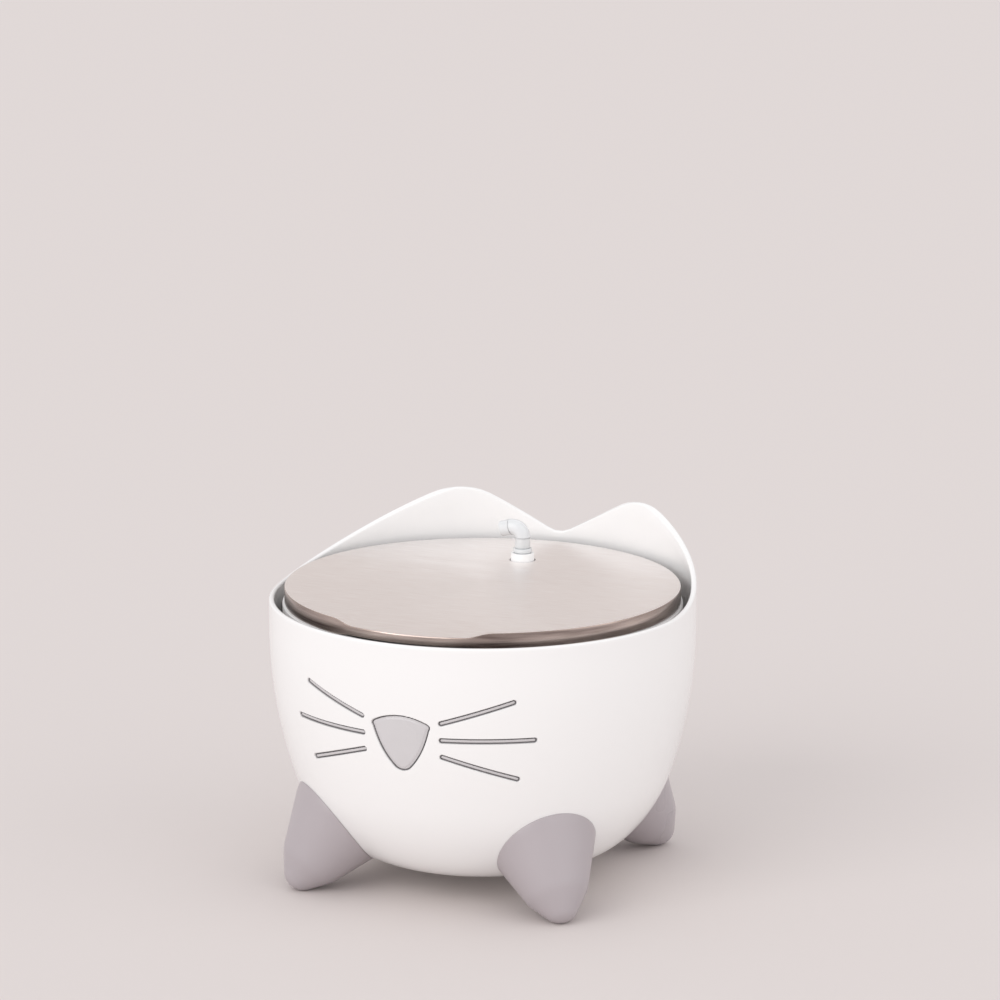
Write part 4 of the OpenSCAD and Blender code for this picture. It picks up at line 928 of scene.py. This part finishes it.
# The rim's colour has brush lines and painted reflection: broad dark bands round the rim stand in for dark
# reflections
STEEL_RIM_PAINTED_REFLECTION = brushed("steel_rim_painted_reflection", srgb(92, 78, 74), srgb(208, 194, 187), 0.26, 2, (0.3, 0.3, 5))
steel = add("steel_plate_pressed", *plate(), STEEL_TOP, "plate", ["steel_plate", "plate_rim"], "steel")
steel.data.materials.append(STEEL_RIM_PAINTED_REFLECTION)
# The rim's faces stand outside LEVEL_R and aren't level
for face in steel.data.polygons:
    if abs(face.normal.z) < 0.7 and math.hypot(face.center.x, face.center.y) > LEVEL_R * MM:
        face.material_index = 1

# ---------------------------------------------------------------- filter's granules
# Places of the pockets, their width and corner, the wall between them and the granules, and heights
LOBE_X, WELL_Y, POCKET_W, POCKET_R, POCKET_WALL = 18.5, 43.0, 34.0, 13.0, 0.95
FILL_LOW, FILL_TOP, GRAIN = 118.25, 129.0, 0.22


def granules(side, seed):
    """Two pockets' fills on one side, each a rounded block whose points are shaken by GRAIN."""
    rng = np.random.default_rng(seed)
    parts, half, r = [], POCKET_W / 2 - POCKET_WALL, POCKET_R - POCKET_WALL
    c = half - r
    loop = []
    for cx, cy, a in ((c, c, 0), (-c, c, 90), (-c, -c, 180), (c, -c, 270)):
        loop += arc(cx, cy, r, a, a + 90, 18)[:-1]
    loop = np.array(loop)
    # Share of the outline and height of each row, from the middle below to the middle above
    rows = [(0.0, FILL_LOW + 0.3), (0.45, FILL_LOW + 0.2), (0.9, FILL_LOW + 0.3), (0.98, FILL_LOW + 1)]
    rows += [(1.0, z) for z in np.linspace(FILL_LOW + 1.8, FILL_TOP - 1.6, 9)]
    rows += [(0.98, FILL_TOP - 0.8), (0.94, FILL_TOP - 0.25)]
    rows += [(f, FILL_TOP) for f in np.linspace(0.88, 0.06, 15)]
    for sy in (-1, 1):
        verts = []
        for point in loop:
            for f, z in rows:
                j = rng.uniform(-GRAIN, GRAIN, 3) if f > 0.05 else np.zeros(3)
                # The upright rows stay inside the pocket's wall
                p = point * f + (j[:2] if f < 0.99 else j[:2] * 0.5 - np.sign(point) * 0.12)
                height = min(z + j[2] * 0.8, FILL_TOP + 0.1)
                verts.append((side * LOBE_X + p[0], sy * LOBE_X - WELL_Y + p[1], height))
        lid = [i * len(rows) + len(rows) - 1 for i in range(len(loop))]
        parts.append((verts, grid_faces(len(loop), len(rows), True) + [lid]))
    return join(parts)


add("carbon_granules", *granules(-1, 3), M["carbon"], "filter", ["carbon_fill"], "carbon", sharp=80)
add("resin_granules", *granules(1, 5), M["resin"], "filter", ["resin_fill"], "resin", sharp=80)


# The film's pale edge starts and ends this far from its rim, and the two colours meet over this length
FILM_EDGE, FILM_EDGE_END, FILM_MEET, GRAIN_SCALE = 3.6, 2.2, 1.6, 620


def film_colours(m, half, grey, tan):
    """The film shows the granules under it, grey on one side and tan on the other, inside a pale rim."""
    nt = m.node_tree
    base = nt.nodes["Principled BSDF"].inputs["Base Color"]
    coord = nt.nodes.new("ShaderNodeTexCoord")
    axes = nt.nodes.new("ShaderNodeSeparateXYZ")
    nt.links.new(coord.outputs["Object"], axes.inputs["Vector"])
    grains = nt.nodes.new("ShaderNodeTexNoise")
    grains.inputs["Scale"].default_value, grains.inputs["Detail"].default_value = GRAIN_SCALE, 3
    nt.links.new(coord.outputs["Object"], grains.inputs["Vector"])
    spots = share(nt, grains.outputs["Fac"], 0.35, 0.65)

    def grained(colour, dark):
        return mix_colours(nt, spots, [c * dark for c in colour[:3]] + [1], colour)

    x, y = axes.outputs["X"], maths(nt, "ADD", axes.outputs["Y"], WELL_Y * MM)
    side = share(nt, x, -FILM_MEET / 2 * MM, FILM_MEET / 2 * MM)
    seen = mix_colours(nt, side, grained(grey, 0.66), grained(tan, 0.84))
    reach = maths(nt, "MAXIMUM", maths(nt, "ABSOLUTE", x), maths(nt, "ABSOLUTE", y))
    rim = share(nt, reach, half - FILM_EDGE * MM, half - FILM_EDGE_END * MM)
    nt.links.new(mix_colours(nt, rim, seen, base.links[0].from_socket), base)


film = frame["nodes"]["filter_film"]
film.data.materials[0] = M["fleece"]
film_colours(M["fleece"], film.dimensions.x / 2, srgb(246, 252, 249), srgb(255, 246, 236))

# ---------------------------------------------------------------- floor and light
PALE, FLOOR_HALF = srgb(223, 215, 212), 14.0


def floor():
    """Plain paper floor, level with the feet."""
    me = bpy.data.meshes.new("floor")
    corners = ((-1, -1), (1, -1), (1, 1), (-1, 1))
    me.from_pydata([(x * FLOOR_HALF, y * FLOOR_HALF, 0) for x, y in corners], [], [(0, 1, 2, 3)])
    o = bpy.data.objects.new("floor", me)
    scene.collection.objects.link(o)
    m = bpy.data.materials.new("floor_paper")
    m.use_nodes = True
    b = m.node_tree.nodes["Principled BSDF"]
    b.inputs["Base Color"].default_value = PALE
    b.inputs["Roughness"].default_value = 0.9
    b.inputs["Specular IOR Level"].default_value = 0.0
    me.materials.append(m)


def sun(name, azimuth, elevation, strength, angle):
    """Soft sun from degrees right of the front and above the floor, as wide as angle."""
    d = bpy.data.lights.new(name, "SUN")
    d.energy, d.angle = strength, math.radians(angle)
    o = bpy.data.objects.new(name, d)
    scene.collection.objects.link(o)
    a, e = math.radians(azimuth), math.radians(elevation)
    back = Vector((math.sin(a) * math.cos(e), -math.cos(a) * math.cos(e), math.sin(e)))
    o.rotation_euler = back.to_track_quat("Z", "Y").to_euler()


floor()
sun("key", -22, 26, 0.9, 48)
sun("side", 84, 18, 0.45, 70)
# The world lights the object, and shows PALE to the camera and in steel and clear pieces
world = bpy.data.worlds.new("pale_room")
scene.world = world
world.use_nodes = True
wn = world.node_tree
background = wn.nodes["Background"]
background.inputs["Color"].default_value = (0.98, 0.98, 1.0, 1)
background.inputs["Strength"].default_value = 0.86
pale = wn.nodes.new("ShaderNodeBackground")
pale.inputs["Color"].default_value = PALE
rays = wn.nodes.new("ShaderNodeLightPath")
mix = wn.nodes.new("ShaderNodeMixShader")
seen = rays.outputs["Is Camera Ray"]
for kind in ("Is Glossy Ray", "Is Transmission Ray"):
    seen = maths(wn, "MAXIMUM", seen, rays.outputs[kind])
wn.links.new(seen, mix.inputs["Fac"])
wn.links.new(background.outputs[0], mix.inputs[1])
wn.links.new(pale.outputs[0], mix.inputs[2])
wn.links.new(mix.outputs[0], wn.nodes["World Output"].inputs["Surface"])

# ---------------------------------------------------------------- hand over
bpy.context.view_layer.update()
